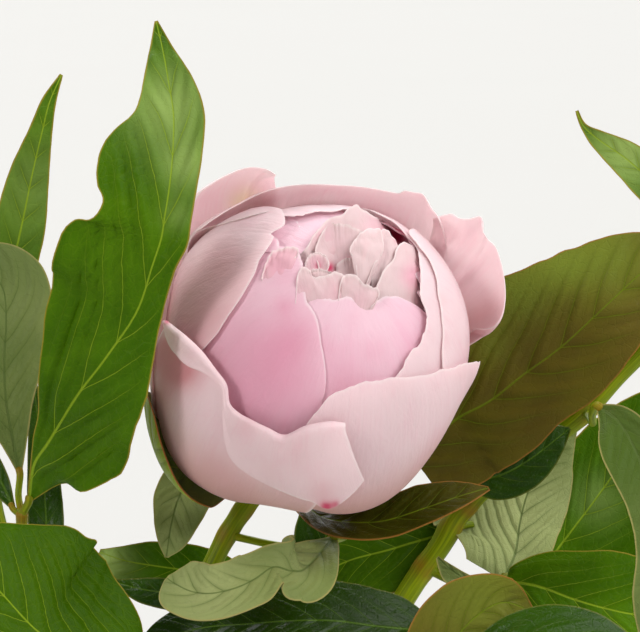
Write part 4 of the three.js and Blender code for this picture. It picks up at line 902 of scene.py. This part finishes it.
# ---- leaves ----
# rows: [right, up, away, left, right] along the rib from base to tip: the rib's point in the photograph's
# view, and the blade's half widths to its left and right as seen from the front.
# roll: degrees that the blade turns about its rib, right half away. cup: how far the margins come forward.
# vein: millimetres between side veins. wave: how far the margins ripple. slope: how the side veins lean.
Leaf = namedtuple("Leaf", "colour vein wave rows roll cup slope", defaults=(0, 0.1, 1.35))
LEAVES = {
    "leaf_upright": Leaf("green", 19, 0.9, slope=2.6, rows=[
        [-84.5, -54, 2, 0.5, 0.5], [-83, -43.5, -4, 1, 11.5], [-79, -37, -10, 4.5, 19],
        [-75, -30.5, -16, 7.5, 22.5], [-70, -22.5, -23, 13, 20], [-62, -12, -30, 20.5, 15.5],
        [-53, 1.5, -36, 26, 7.5], [-48.5, 15, -41, 26.5, 6.5], [-46, 22.5, -43, 22.5, 7.5],
        [-45, 29, -44, 17.5, 7.5], [-44, 35, -44, 19.5, 7.5], [-43, 43, -43, 20.5, 8],
        [-42.5, 51, -41, 17.5, 8.5], [-42.5, 59, -38, 11, 8.5], [-44, 68.5, -34, 7, 6.5],
        [-45.5, 77, -29, 4, 3], [-47.5, 85.5, -23, 0.5, 0.5]]),
    "leaf_left": Leaf("pale", 9, 0.6, rows=[
        [-87, -46, 9, 0.5, 0.5], [-89, -36, 12, 4, 4.5], [-91, -24.5, 14, 10, 8.5],
        [-91.5, -13, 16, 13.5, 12], [-91, -1, 18, 14.5, 13.5], [-92, 8, 21, 13.5, 13.5],
        [-96.5, 13, 26, 8.5, 8.5], [-103, 10.5, 34, 0.5, 0.5]]),
    "leaf_left_small": Leaf("dark", 7, 0.4, rows=[
        [-89, -56, 6, 0.5, 0.5], [-92, -49, 10, 4, 2.5], [-96, -43, 15, 6, 4], [-101, -36.5, 22, 7, 5],
        [-108, -30, 27, 6, 4], [-116, -26, 32, 0.5, 0.5]]),
    "leaf_back_left": Leaf("green", 10, 0.4, roll=15, rows=[
        [-92, -4, 58, 0.5, 0.5], [-90, 10.5, 56, 6, 6.5], [-86.5, 26.5, 54, 8, 7], [-83.5, 41, 52, 7, 5],
        [-80.5, 54, 50, 4, 3], [-78.5, 62, 50, 2.5, 2], [-75, 70, 52, 0.5, 0.5]]),
    "leaf_back_strip": Leaf("dark", 9, 0.3, rows=[
        [-75.5, -89.5, 38, 0.5, 0.5], [-78.5, -73.5, 42, 4.5, 4.5], [-79.5, -57.5, 44, 5.5, 5.5],
        [-80.5, -42, 44, 4.5, 4.5], [-82, -28.5, 42, 2.5, 2.5], [-83, -18.5, 40, 0.5, 0.5]]),
    "leaf_low_left": Leaf("green", 10, 0.9, roll=32, cup=0, rows=[
        [-53.5, -113, -4, 1, 1], [-62.5, -103, -13, 13, 17.5], [-72.5, -97, -18.5, 20.5, 25.5],
        [-82.5, -91, -22.5, 23, 28], [-93, -80, -24.5, 22, 24.5], [-101.5, -71, -24.5, 13, 14],
        [-111, -65, -21, 0.5, 0.5]]),
    "leaf_curled": Leaf("pale", 8, 0.8, roll=25, cup=0.15, rows=[
        [4.5, -64, 22, 0.5, 0.5], [0.5, -68.5, 13, 5, 5], [-4.5, -73.5, 4, 9, 9.5], [-8.5, -74, -1, 8.5, 9],
        [-13.5, -73, -5, 5.5, 6], [-19, -76.5, -8, 7.5, 7.5], [-24.5, -79, -10, 7.5, 7.5],
        [-31.5, -80.5, -10, 8, 7.5], [-37, -80, -8, 8, 8], [-41.5, -78, -6, 7, 7], [-44.5, -76, -4, 1, 1]]),
    "leaf_withered": Leaf("pale", 7, 0.8, cup=0.2, rows=[
        [-33.5, -42.5, 45, 0.5, 0.5], [-37.5, -46, 38, 7, 6], [-41, -53, 32, 9.5, 7.5],
        [-43, -60, 28, 8, 5.5], [-44, -66, 27, 5, 3], [-44.5, -70, 28, 0.5, 0.5]]),
    "leaf_broad_right": Leaf("bronze", 13, 0.7, cup=-0.05, rows=[
        [26, -39.5, 52, 1, 14], [34, -34, 49, 16, 20], [41, -29, 47, 24.5, 20.5],
        [49.5, -24.5, 44, 30.5, 20], [59, -17, 41, 31.5, 18.5], [70.5, -8.5, 37, 27.5, 18.5],
        [84.5, 4.5, 34, 20.5, 15], [95, 14, 34, 13, 10.5], [107.5, 22, 37, 0.5, 0.5]]),
    "leaf_under_right": Leaf("dark", 8, 0.5, cup=0, rows=[
        [41.5, -49, 52.5, 0.5, 0.5], [47.5, -47.5, 50.5, 6.5, 6], [54, -45.5, 48.5, 8.5, 8],
        [61, -41.5, 47, 8.5, 7.5], [67.5, -36.5, 46.5, 6.5, 4.5], [72.5, -32.5, 47, 0.5, 0.5]]),
    "leaf_pale_right": Leaf("pale", 8, 0.6, cup=0, rows=[
        [53, -76.5, 56, 13, 3], [56.5, -69, 64, 25.5, 10], [58, -59.5, 73, 26, 13],
        [60.5, -50.5, 79, 21, 13.5], [66, -40.5, 83, 13, 10], [74, -32.5, 86, 1, 1]]),
    "leaf_far_right": Leaf("green", 11, 0.6, rows=[
        [57.5, -85.5, 99.5, 1, 2], [66.5, -71, 101.2, 13, 17], [78.5, -55, 101, 18, 22],
        [90, -39.5, 99, 16, 19], [100, -28, 98.4, 10, 12], [110, -18.5, 99, 0.5, 0.5]]),
    "leaf_hanging_right": Leaf("pale", 9, 0.8, cup=0.15, rows=[
        [80.5, -26, 10, 0.5, 0.5], [86, -30, 4, 4.5, 6.5], [90, -36, 0, 7, 9.5], [93.5, -44, -3, 8, 9.5],
        [96.5, -55, -4, 8.5, 7.5], [97.5, -68, -3, 8.5, 6], [96.5, -82.5, 0, 6.5, 6],
        [94, -97, 6, 0.5, 0.5]]),
    "leaf_low_right": Leaf("green", 9, 0.6, roll=-25, cup=0, rows=[
        [54, -77, 43, 4, 6], [63.5, -78.5, 39, 11, 13], [76, -83, 35, 16, 16], [90.5, -86.5, 32, 17, 17],
        [106, -87.5, 32, 14, 14], [120.5, -84, 36, 0.5, 0.5]]),
    "leaf_small_pale": Leaf("pale", 5, 0.3, rows=[
        [48, -77.5, 40, 0.5, 0.5], [43, -76.5, 38, 3.5, 1.5], [38.5, -74, 38, 4, 1.5],
        [34, -70, 40, 0.5, 0.5]]),
    "leaf_olive_low": Leaf("bronze", 8, 0.6, rows=[
        [32.5, -114.5, 6, 4, 1], [35, -103, 2, 11, 8], [39, -94, -2, 13.5, 11.5], [46, -86.5, -3, 12.5, 12],
        [53.5, -83, -2, 7.5, 7], [62, -86, 2, 0.5, 0.5]]),
    "leaf_front_low_right": Leaf("dark", 9, 0.6, roll=-35, cup=0, rows=[
        [39, -108.5, -12, 1, 1], [52, -98.5, -18, 8, 8], [65.5, -95.5, -21, 10.5, 11],
        [78.5, -98.5, -21, 11, 11], [90, -105.5, -18, 8, 8], [100, -115.5, -12, 0.5, 0.5]]),
    "leaf_glossy_low": Leaf("dark", 9, 0.8, roll=40, cup=0, rows=[
        [35, -91.5, 28, 1, 1], [26, -91, 24, 8, 8], [16, -90, 19, 10, 10], [4.5, -88.5, 16, 11, 11],
        [-7, -88.5, 14, 11, 11], [-20.5, -89.5, 13, 10, 10], [-33.5, -90.5, 13, 8, 8],
        [-46.5, -94, 15, 4.5, 5], [-53, -97.5, 18, 0.5, 0.5]]),
    "leaf_behind_stem": Leaf("green", 8, 0.5, roll=15, cup=0, rows=[
        [39.5, -62.5, 70, 1, 1], [29.5, -65, 69, 10, 9], [19.5, -68, 69, 13, 11], [8.5, -71, 70, 12, 10],
        [0.5, -75, 72, 8, 7], [-6, -80, 76, 0.5, 0.5]]),
    "leaf_back_low_left": Leaf("green", 8, 0.5, roll=15, cup=0, rows=[
        [-17, -78, 62, 0.5, 0.5], [-27.5, -76, 63, 6.5, 6.5], [-37.5, -74, 64, 8.5, 8],
        [-48, -72.5, 65, 8.5, 7.5], [-56.5, -71, 66, 6.5, 5], [-64, -68.5, 70, 1, 1]]),
    "leaf_dark_low_left": Leaf("dark", 7, 0.3, roll=25, cup=0, rows=[
        [-24.5, -82, 34, 0.5, 0.5], [-33.5, -81.5, 32, 4, 3.5], [-42, -80.5, 30, 5, 4],
        [-51, -79.5, 28, 4, 3.5], [-60.5, -77, 30, 0.5, 0.5]]),
    "leaf_back_centre": Leaf("dark", 9, 0.4, rows=[
        [4, -86, 88, 0.5, 0.5], [1.5, -75, 87, 8.5, 8.5], [1.5, -65, 86, 10, 10],
        [4.5, -53.5, 84, 8.5, 8.5], [9.5, -43, 82, 1, 1]]),
    "leaf_top_right": Leaf("green", 9, 0.3, rows=[
        [113.5, 12, 44, 0.5, 0.5], [107.5, 25.5, 40, 5, 5], [98.5, 36.5, 38, 6.5, 6.5],
        [89.5, 45, 38, 5.5, 5.5], [81, 51, 40, 3, 3], [76.5, 55, 42, 1, 1], [74.5, 59.5, 44, 0.5, 0.5]]),
    "bract": Leaf("bronze", 9, 0.6, roll=-48, cup=0, rows=[
        [-11, -49, 37, 0.5, 0.5], [-5, -54.5, 29, 2.5, 2.5], [1, -58.5, 20, 4, 3.5], [9, -60, 12, 5.5, 4.5],
        [19, -59.5, 8, 6, 5], [30.5, -56, 7, 6.5, 4.5], [40.5, -52.5, 8, 4.5, 3], [49, -50, 10, 0.5, 0.5]]),
}
LEAF_ROWS, LEAF_COLUMNS = 84, 32
LEAST_HALF_WIDTH = 0.4
RIB_RIDGE = 0.9
RIB_GROOVE, RIB_GROOVE_REACH = 0.55, 3.5
QUILT = 0.10   # how far the blade swells between its side veins, as a share of their distance
VEIN_BEND, VEIN_SHIFT = 0.035, 0.12   # how side veins curve to the tip, and how far left and right differ
JAG = 0.02   # how uneven the margins are, as a share of the width


def rib_frame(leaf, t):
    """At each t, 0 at the base: the rib's point, and the blade's lengthwise, side and facing directions."""
    step = 1e-3
    point, beyond, before = (
        seen(along(leaf.rows, at)[:, :3]) for at in (t, np.minimum(t + step, 1), np.maximum(t - step, 0)))
    tangent = beyond - before
    tangent /= np.linalg.norm(tangent, axis=-1, keepdims=True)
    facing = -AWAY + (tangent @ AWAY)[:, None] * tangent
    facing /= np.linalg.norm(facing, axis=-1, keepdims=True)
    side = np.cross(tangent, facing)
    turn = math.radians(leaf.roll)
    return (point, tangent, math.cos(turn) * side - math.sin(turn) * facing,
            math.cos(turn) * facing + math.sin(turn) * side)


def leaf_blade(name, leaf, seed):
    t = np.linspace(0, 1, LEAF_ROWS + 1)
    v = np.linspace(-1, 1, LEAF_COLUMNS + 1)
    point, _, side, facing = rib_frame(leaf, t)
    lean = 1 / math.cos(math.radians(leaf.roll))
    left, right = np.maximum(along(leaf.rows, t)[:, 3:].T, LEAST_HALF_WIDTH)[..., None] * lean
    width = np.where(v < 0, left, right)
    along_mm = lengths(point)[:, None] + 0 * v
    length = along_mm[-1, 0]
    across_mm = v * width
    off = np.abs(across_mm)
    margin = np.sign(v) + 0 * along_mm
    cup = leaf.cup * v ** 2 * width
    order = (along_mm - leaf.slope * off - VEIN_BEND * off ** 2 + VEIN_SHIFT * across_mm) / leaf.vein
    inner = smooth(off, 0.3, 4) * smooth(1 - np.abs(v), 0, 0.35)
    quilt = -QUILT * leaf.vein * 0.5 * np.cos(2 * math.pi * order) * inner
    groove = RIB_GROOVE * (1 - np.exp(-(off / RIB_GROOVE_REACH) ** 2))
    ripple = leaf.wave * np.abs(v) ** 2.5 * grain(along_mm, 20 * margin, seed, 13)
    waver = 0.5 * leaf.wave * grain(along_mm, across_mm, seed + 5, 22)
    jag = 1 + JAG * np.abs(v) ** 4 * grain(along_mm, 40 * margin, seed + 8, 4)
    ends = smooth(t, 0, 0.06)[:, None] * smooth(1 - t, 0, 0.05)[:, None]
    lift = mix(cup, cup + quilt + groove + ripple + waver, ends)
    grid = point[:, None] + (across_mm * jag)[..., None] * side[:, None] + lift[..., None] * facing[:, None]
    rim = np.minimum(width - off, 1.5 * np.minimum(along_mm + 1.5, length - along_mm))
    fields = {
        "grain": with_seed(across_mm, along_mm, seed * LEAF_SEED),
        "order": order,
        "reach": np.abs(v) + 0 * along_mm,
        "from_rib": off * mix(0.8, 2.2, along_mm / length),
        "rim": rim,
        "painted_sheen": marks(PAINTED_SHEEN_MARKS, name, grid),
        "shade_and_dark_tone": marks(SHADE_AND_DARK_TONE_MARKS, name, grid),
    }
    ridge = RIB_RIDGE * np.exp(-(off / 0.8) ** 2) * mix(1, 0.25, along_mm / length)
    sheet(name, grid, leaf_thickness(rim), fields, LEAF_MATERIALS[leaf.colour], ridge)


# ---- stems, each with the stalks that grow from it: [radius, path, the leaf that it runs into] ----
LEFT_STALK = [[-39, -111.5, 49], [-58, -105.5, 40], [-75.5, -88, 26], [-86, -68, 10], [-86.5, -57.5, 4]]
RIGHT_STALK = [[30.5, -72.8, 62], [41, -77.5, 57], [51, -77.5, 50]]
STEMS = {
    "flower_stem": {
        "radius": FLOWER_STEM_RADIUS,
        "from_bloom": [50.6, 56],
        "seen": [[-15, -47, 51.5], [-21.5, -55, 53], [-27, -63.5, 53.5], [-31.5, -72.5, 53], [-36, -82.5, 52],
                 [-39, -97, 50], [-39, -111.5, 49], [-36, -134.5, 48], [-34, -147.5, 48]],
        "in_vase": [[-6.5, -4, 150], [-8, -8, 118], [-14, -13, 70], [-19, -16, 12]],
        "stalks": [
            [1.7, LEFT_STALK, None],
            [1.1, [[-86.5, -57.5, 4]], "leaf_upright"],
            [1.0, [[-86.5, -57.5, 4], [-87.5, -52, 8]], "leaf_left"],
            [0.9, [[-86.5, -58, 4]], "leaf_left_small"],
            [1.1, [[-75.5, -88, 26], [-90, -66, 44], [-95, -38, 56], [-93.5, -16, 58]], "leaf_back_left"],
            [1.0, [[-73, -91.5, 28], [-74, -94, 34]], "leaf_back_strip"],
            [1.5, [[-38.5, -117, 49], [-42, -124, 32], [-48, -121, 10]], "leaf_low_left"],
            [1.2, [[-27, -63.5, 53], [-8, -67, 46], [7, -64, 28]], "leaf_curled"],
            [1.0, [[-22, -56, 53], [-27, -44, 52]], "leaf_withered"],
            [1.5, [[-17, -49.5, 52], [0, -46, 59], [17, -43, 57]], "leaf_broad_right"],
            [1.2, [[-37.2, -88, 51.5], [-24, -89, 60], [-12, -82, 62]], "leaf_back_low_left"],
            [1.1, [[-38.3, -94, 50.5], [-28, -94, 44], [-20, -85, 36]], "leaf_dark_low_left"],
            [1.0, [[-15, -47, 51.5], [-14, -47, 43]], "bract"],
        ],
    },
    "leafy_stem": {
        "radius": LEAFY_STEM_RADIUS,
        "from_bloom": [],
        "seen": [[111, 2, 48], [100, -4, 51], [87, -16, 55], [74, -30, 58], [58, -40.5, 60], [41, -56.5, 62],
                 [35, -66.5, 62], [26, -79.5, 62], [-0.5, -126, 57]],
        "in_vase": [[6.5, 4, 150], [-8, 4, 116], [-19, 5, 70], [-20, 5, 12]],
        "stalks": [
            [1.6, RIGHT_STALK, None],
            [1.2, [[51, -77.5, 50]], "leaf_low_right"],
            [1.2, [[51, -77.5, 50], [54.5, -75.5, 52.5]], "leaf_pale_right"],
            [0.9, [[50, -77.5, 50.5], [50.5, -78.5, 43]], "leaf_small_pale"],
            [1.2, [[77, -27.5, 57.4], [79, -31, 42], [79, -28, 24]], "leaf_hanging_right"],
            [1.5, [[6.4, -114, 58.3], [20, -122, 38], [30, -120, 16]], "leaf_olive_low"],
            [1.2, [[26, -121.5, 25], [35, -117, 4]], "leaf_front_low_right"],
            [1.3, [[19, -92, 60.7], [35, -97, 48], [40, -94, 36]], "leaf_glossy_low"],
            [1.1, [[38, -61.5, 62], [44, -60.5, 68.5]], "leaf_behind_stem"],
            [1.1, [[17, -95.5, 60.3], [9, -96, 76]], "leaf_back_centre"],
            [1.4, [[22.5, -86, 61.3], [42, -96, 86]], "leaf_far_right"],
            [1.1, [[42, -55, 62], [37, -50.5, 58]], "leaf_under_right"],
            [1.3, [[111, 2, 48]], "leaf_top_right"],
        ],
    },
}
TUBE_STEP = 1.6
STEM_SIDES, STALK_SIDES = 24, 16
JOINT_REACH = 3.0   # how far a stem swells around a stalk's foot
STALK_END_REACHES = 3.5, 2.5
INTO_LEAF = 1.6   # how far a stalk runs into its leaf's rib
# A rounded end's sections: how far out each is and how wide, as shares of the tube's radius.
ROUND_END = [(-1.0, 0.25), (-0.75, 0.66), (-0.35, 0.93)]


def smooth_path(points, step):
    """Points on the centripetal curve that the part's tubes follow, about a step apart."""
    points = [np.asarray(p, float) for p in points]
    points = [2 * points[0] - points[1], *points, 2 * points[-1] - points[-2]]
    found = []
    for p in zip(points, points[1:], points[2:], points[3:]):
        k = np.concatenate([[0], np.cumsum([math.sqrt(np.linalg.norm(b - a)) for a, b in zip(p, p[1:])])])
        for t in np.linspace(k[1], k[2], max(3, round(np.linalg.norm(p[2] - p[1]) / step)), endpoint=False):
            one = [mix(p[i], p[i + 1], (t - k[i]) / (k[i + 1] - k[i])) for i in range(3)]
            two = [mix(one[i], one[i + 1], (t - k[i]) / (k[i + 2] - k[i])) for i in range(2)]
            found.append(mix(two[0], two[1], (t - k[1]) / (k[2] - k[1])))
    return np.array([*found, points[-2]])


def bands(index):
    """The faces between rings of vertices, whose numbers are the rows of index."""
    beside = np.roll(index, -1, axis=1)
    return np.stack([index[:-1], beside[:-1], beside[1:], index[1:]], -1).reshape(-1, 4).tolist()


def tube(name, points, radius, sides, joints, seed):
    """A closed round tube with rounded ends. joints: places where it swells and reddens a little."""
    path = smooth_path(points, TUBE_STEP)
    tangent = np.gradient(path, axis=0)
    tangent /= np.linalg.norm(tangent, axis=1, keepdims=True)
    across = np.cross(tangent[0], [0.31, 0.72, 0.62])
    length = lengths(path)
    swollen = np.zeros(len(path))
    for joint, reach in joints:
        swollen = np.maximum(swollen, np.exp(-(np.linalg.norm(path - joint, axis=1) / reach) ** 2))
    size = radius * (1 + 0.1 * swollen + 0.03 * grain(length, 0 * length, seed, 12))
    angles = np.linspace(0, 2 * math.pi, sides, endpoint=False)
    ribbed = 1 + 0.025 * np.cos(5 * angles + seed)
    turn = np.abs((angles / math.pi + 1) % 2 - 1) * math.pi * radius
    sections = [(0, shift, share) for shift, share in ROUND_END]
    sections += [(i, 0.0, 1.0) for i in range(len(path))]
    sections += [(len(path) - 1, -shift, share) for shift, share in reversed(ROUND_END)]
    rings, grains, reds = [], [], []
    for i, shift, share in sections:
        across = across - (across @ tangent[i]) * tangent[i]
        across /= np.linalg.norm(across)
        other = np.cross(tangent[i], across)
        around = np.cos(angles)[:, None] * across + np.sin(angles)[:, None] * other
        centre = path[i] + shift * 0.7 * size[i] * tangent[i]
        rings.append(centre + (share * size[i] * ribbed)[:, None] * around)
        grains.append(with_seed(turn, np.full(sides, length[i]), seed * STEM_SEED))
        reds.append(np.full(sides, swollen[i]))
    count = len(rings)
    index = np.arange(count * sides).reshape(count, sides)
    faces = bands(index) + [index[0][::-1].tolist(), index[-1].tolist()]
    fields = {"grain": np.concatenate(grains), "joint": np.concatenate(reds)}
    return make_object(name, np.concatenate(rings), faces, fields)


def stem(name, spec, seed):
    path = [bloom_point(np.array(0.0), np.array(0.0), np.array(r)) for r in spec["from_bloom"]]
    path += list(seen(spec["seen"])) + [np.array(p, float) for p in spec["in_vase"]]
    stalks = []
    for radius, points, leaf in spec["stalks"]:
        points = list(seen(points))
        if leaf:
            foot, direction, _, _ = rib_frame(LEAVES[leaf], np.array([0.0, 0.015]))
            points += [foot[0], foot[0] + direction[0] * INTO_LEAF]
        stalks.append((radius, points))
    joints = [(points[0], JOINT_REACH) for _, points in stalks]
    whole = tube(name + "_look", path, spec["radius"], STEM_SIDES, joints, seed)
    for i, (radius, points) in enumerate(stalks):
        ends = list(zip((points[0], points[-1]), STALK_END_REACHES))
        stalk = tube(f"{name}_stalk_{i}", points, radius, STALK_SIDES, ends, seed + i + 1)
        joined = whole.modifiers.new("join", "BOOLEAN")
        joined.operation = "UNION"
        joined.solver = "MANIFOLD"
        joined.object = stalk
        bpy.context.view_layer.update()
        result = bpy.data.meshes.new_from_object(whole.evaluated_get(bpy.context.evaluated_depsgraph_get()))
        whole.modifiers.clear()
        whole.data = result
        bpy.data.objects.remove(stalk)
    whole.data.polygons.foreach_set("use_smooth", [True] * len(whole.data.polygons))
    whole.data.set_sharp_from_angle(angle=math.radians(STEM_SHARP))
    whole.data.materials.clear()
    place(whole, STEM_GREEN, name)


# ---- the vase and the receptacle ----
def lathe(profile, segments, centre, axis):
    """Vertices and faces of a profile of [radius, height] rows that starts and ends on the axis."""
    across = np.cross([0.0, 1.0, 0.0], axis) if abs(axis[1]) < 0.9 else np.cross([0.0, 0.0, 1.0], axis)
    across /= np.linalg.norm(across)
    other = np.cross(axis, across)
    angles = np.linspace(0, 2 * math.pi, segments, endpoint=False)
    around = np.cos(angles)[:, None] * across + np.sin(angles)[:, None] * other
    inner = profile[1:-1]
    rings = centre + inner[:, :1, None] * around + inner[:, 1:, None] * axis
    ends = [centre + profile[0][1] * axis, centre + profile[-1][1] * axis]
    first = len(inner) * segments
    last = first + 1
    index = np.arange(first).reshape(-1, segments)
    beside = np.roll(index, -1, axis=1)
    faces = bands(index)
    faces += [[first, int(b), int(a)] for a, b in zip(index[0], beside[0])]
    faces += [[last, int(a), int(b)] for a, b in zip(index[-1], beside[-1])]
    return np.concatenate([rings.reshape(-1, 3), ends]), faces


def rounded(points, count):
    """count points on a smooth curve through points, spaced by their distances."""
    points = np.array(points, float)
    steps = np.linalg.norm(np.diff(points, axis=0), axis=1)
    at = np.concatenate([[0], np.cumsum(steps)])
    where = np.interp(np.linspace(0, at[-1], count), at, np.linspace(0, 1, len(points)))
    return along(points, where)


VASE_SEGMENTS, RECEPTACLE_SEGMENTS = 128, 64


def vase():
    outer = rounded([
        [VASE_FOOT_RADIUS + 1.2, 1.6], [36, 12], [39.6, 26], [VASE_BELLY_RADIUS, 42], [39.8, 58], [36, 73],
        [30, 86], [23.8, 97], [19.4, 108], [VASE_NECK_RADIUS + VASE_WALL, 120],
        [VASE_NECK_RADIUS + VASE_WALL - 0.3, 132], [VASE_LIP_RADIUS - 0.8, 145],
        [VASE_LIP_RADIUS, VASE_HEIGHT - 1.4]], 90)
    lip = [[VASE_LIP_RADIUS - 0.35, VASE_HEIGHT - 0.45], [VASE_LIP_RADIUS - 1.2, VASE_HEIGHT],
           [VASE_LIP_RADIUS - 2.0, VASE_HEIGHT - 0.3]]
    inner = rounded([
        [16.4, VASE_HEIGHT - 1], [VASE_NECK_RADIUS + 0.6, 141], [VASE_NECK_RADIUS, 128],
        [VASE_NECK_RADIUS + 1, 114], [18.4, 103], [24.2, 91], [31, 77], [36, 60],
        [VASE_BELLY_RADIUS - VASE_WALL, 42], [35.8, 26], [31, 13],
        [26, VASE_FLOOR + 1.5], [20, VASE_FLOOR]], 70)
    foot = [[0, 0], [10, 0], [20, 0], [VASE_FOOT_RADIUS - 3, 0], [VASE_FOOT_RADIUS, 0],
            [VASE_FOOT_RADIUS + 0.7, 0.5]]
    floor = [[10, VASE_FLOOR], [0, VASE_FLOOR]]
    profile = np.concatenate([foot, outer, lip, inner, floor])
    vertices, faces = lathe(profile, VASE_SEGMENTS, np.zeros(3), UPWARDS)
    place(make_object("bud_vase_look", vertices, faces, {}, TURNED_SHARP), glaze_material(), "bud_vase")


def receptacle():
    profile = np.concatenate([
        [[0, -50.5]],
        rounded([[4.2, -50.5], [RECEPTACLE_RADIUS - 1, -49.6], [RECEPTACLE_RADIUS, -47.5], [6.9, -43],
                 [RECEPTACLE_RADIUS - 1, -38.5], [10, -35.2], [DISC_RADIUS, -32.4]], 40),
        [[DISC_RADIUS - 0.6, -31.2], [0, -31.2]],
    ])
    vertices, faces = lathe(profile, RECEPTACLE_SEGMENTS, BLOOM_CENTRE, BLOOM_AXIS)
    offset = vertices - BLOOM_CENTRE
    turn = np.abs(np.arctan2(offset @ BLOOM_SIDE, offset @ BLOOM_FRONT))
    fields = {
        "grain": with_seed(turn * RECEPTACLE_RADIUS, offset @ BLOOM_AXIS, 0),
        "joint": np.full(len(vertices), 0.3),
    }
    piece = make_object("receptacle_look", vertices, faces, fields, TURNED_SHARP)
    place(piece, RECEPTACLE_GREEN, "receptacle")


# ---- the camera, the light and the floor ----
SENSOR_WIDTH = 36


def camera():
    made = bpy.data.cameras.new("camera")
    made.sensor_width = SENSOR_WIDTH
    made.sensor_fit = "HORIZONTAL"
    made.lens = SENSOR_WIDTH * VIEW_DISTANCE / (PHOTO_WIDTH * PHOTO_MM_PER_PIXEL)
    made.clip_start, made.clip_end = 0.05, 60
    holder = bpy.data.objects.new("camera", made)
    bpy.context.scene.collection.objects.link(holder)
    turn = Matrix((RIGHT, UP, -AWAY)).transposed().to_4x4()
    holder.matrix_world = Matrix.Translation(Vector((VIEW_CENTRE - AWAY * VIEW_DISTANCE) * MM)) @ turn
    bpy.context.scene.camera = holder


def sun(name, strength, angle, direction, colour):
    made = bpy.data.lights.new(name, "SUN")
    made.energy, made.angle, made.color = strength, math.radians(angle), colour
    holder = bpy.data.objects.new(name, made)
    bpy.context.scene.collection.objects.link(holder)
    holder.rotation_euler = Vector(direction).to_track_quat("-Z", "Y").to_euler()


WORLD_LIGHT = 0.12   # what the surroundings give off
BACKDROP_SHINE = 0.9   # how bright they look above the floor's far edge
FLOOR_REACH = 40
# Each sun's name, strength, angle across in degrees, direction and colour.
SUNS = [
    ("key", 1.3, 14, (0.66, 0.58, -0.48), (1.0, 0.985, 0.96)),
    ("right", 2.5, 50, (-0.62, 0.50, -0.60), (1.0, 0.995, 0.99)),
    ("behind", 3.3, 60, (0.15, -0.75, -0.64), (1.0, 1.0, 1.0)),
    ("behind_right", 1.5, 50, (-0.70, -0.35, -0.62), (1.0, 1.0, 1.0)),
]


def studio():
    scene = bpy.context.scene
    scene.view_settings.view_transform = "Standard"
    world = bpy.data.worlds.new("studio")
    world.use_nodes = True
    nodes, links = world.node_tree.nodes, world.node_tree.links
    background = nodes["Background"]
    background.inputs["Color"].default_value = (0.99, 0.995, 1.0, 1)
    shine = nodes.new("ShaderNodeMapRange")
    shine.inputs["To Min"].default_value = WORLD_LIGHT
    shine.inputs["To Max"].default_value = BACKDROP_SHINE
    path = nodes.new("ShaderNodeLightPath")
    links.new(path.outputs["Is Camera Ray"], shine.inputs["Value"])
    links.new(shine.outputs["Result"], background.inputs["Strength"])
    scene.world = world
    for settings in SUNS:
        sun(*settings)
    corners = [(x * FLOOR_REACH, y * FLOOR_REACH, 0) for x, y in ((-1, -1), (1, -1), (1, 1), (-1, 1))]
    mesh = bpy.data.meshes.new("floor")
    mesh.from_pydata(corners, [], [(0, 1, 2, 3)])
    floor = bpy.data.objects.new("floor", mesh)
    scene.collection.objects.link(floor)
    s = Shader("floor")
    dust = s.noise(s.node("ShaderNodeTexCoord").outputs["Object"], (3.0, 3.0, 3.0), 2.0)
    s.set(Base_Color=s.mixed(dust, (0.492, 0.488, 0.472), (0.498, 0.494, 0.478)), Roughness=0.9)
    s.set(Specular_IOR_Level=0.1)
    mesh.materials.append(s.material)


def build(make, table, seed, step=1):
    """Makes each piece of a table, with a seed of its own."""
    for name, spec in table.items():
        make(name, spec, seed)
        seed += step


camera()
studio()
vase()
receptacle()
build(stem, STEMS, 200, step=20)
build(leaf_blade, LEAVES, 100)
lapel_petal()
build(petal, PETALS, 1)
build(centre_petal, CENTRE_PETALS, 31)
build(sepal, SEPALS, 51)
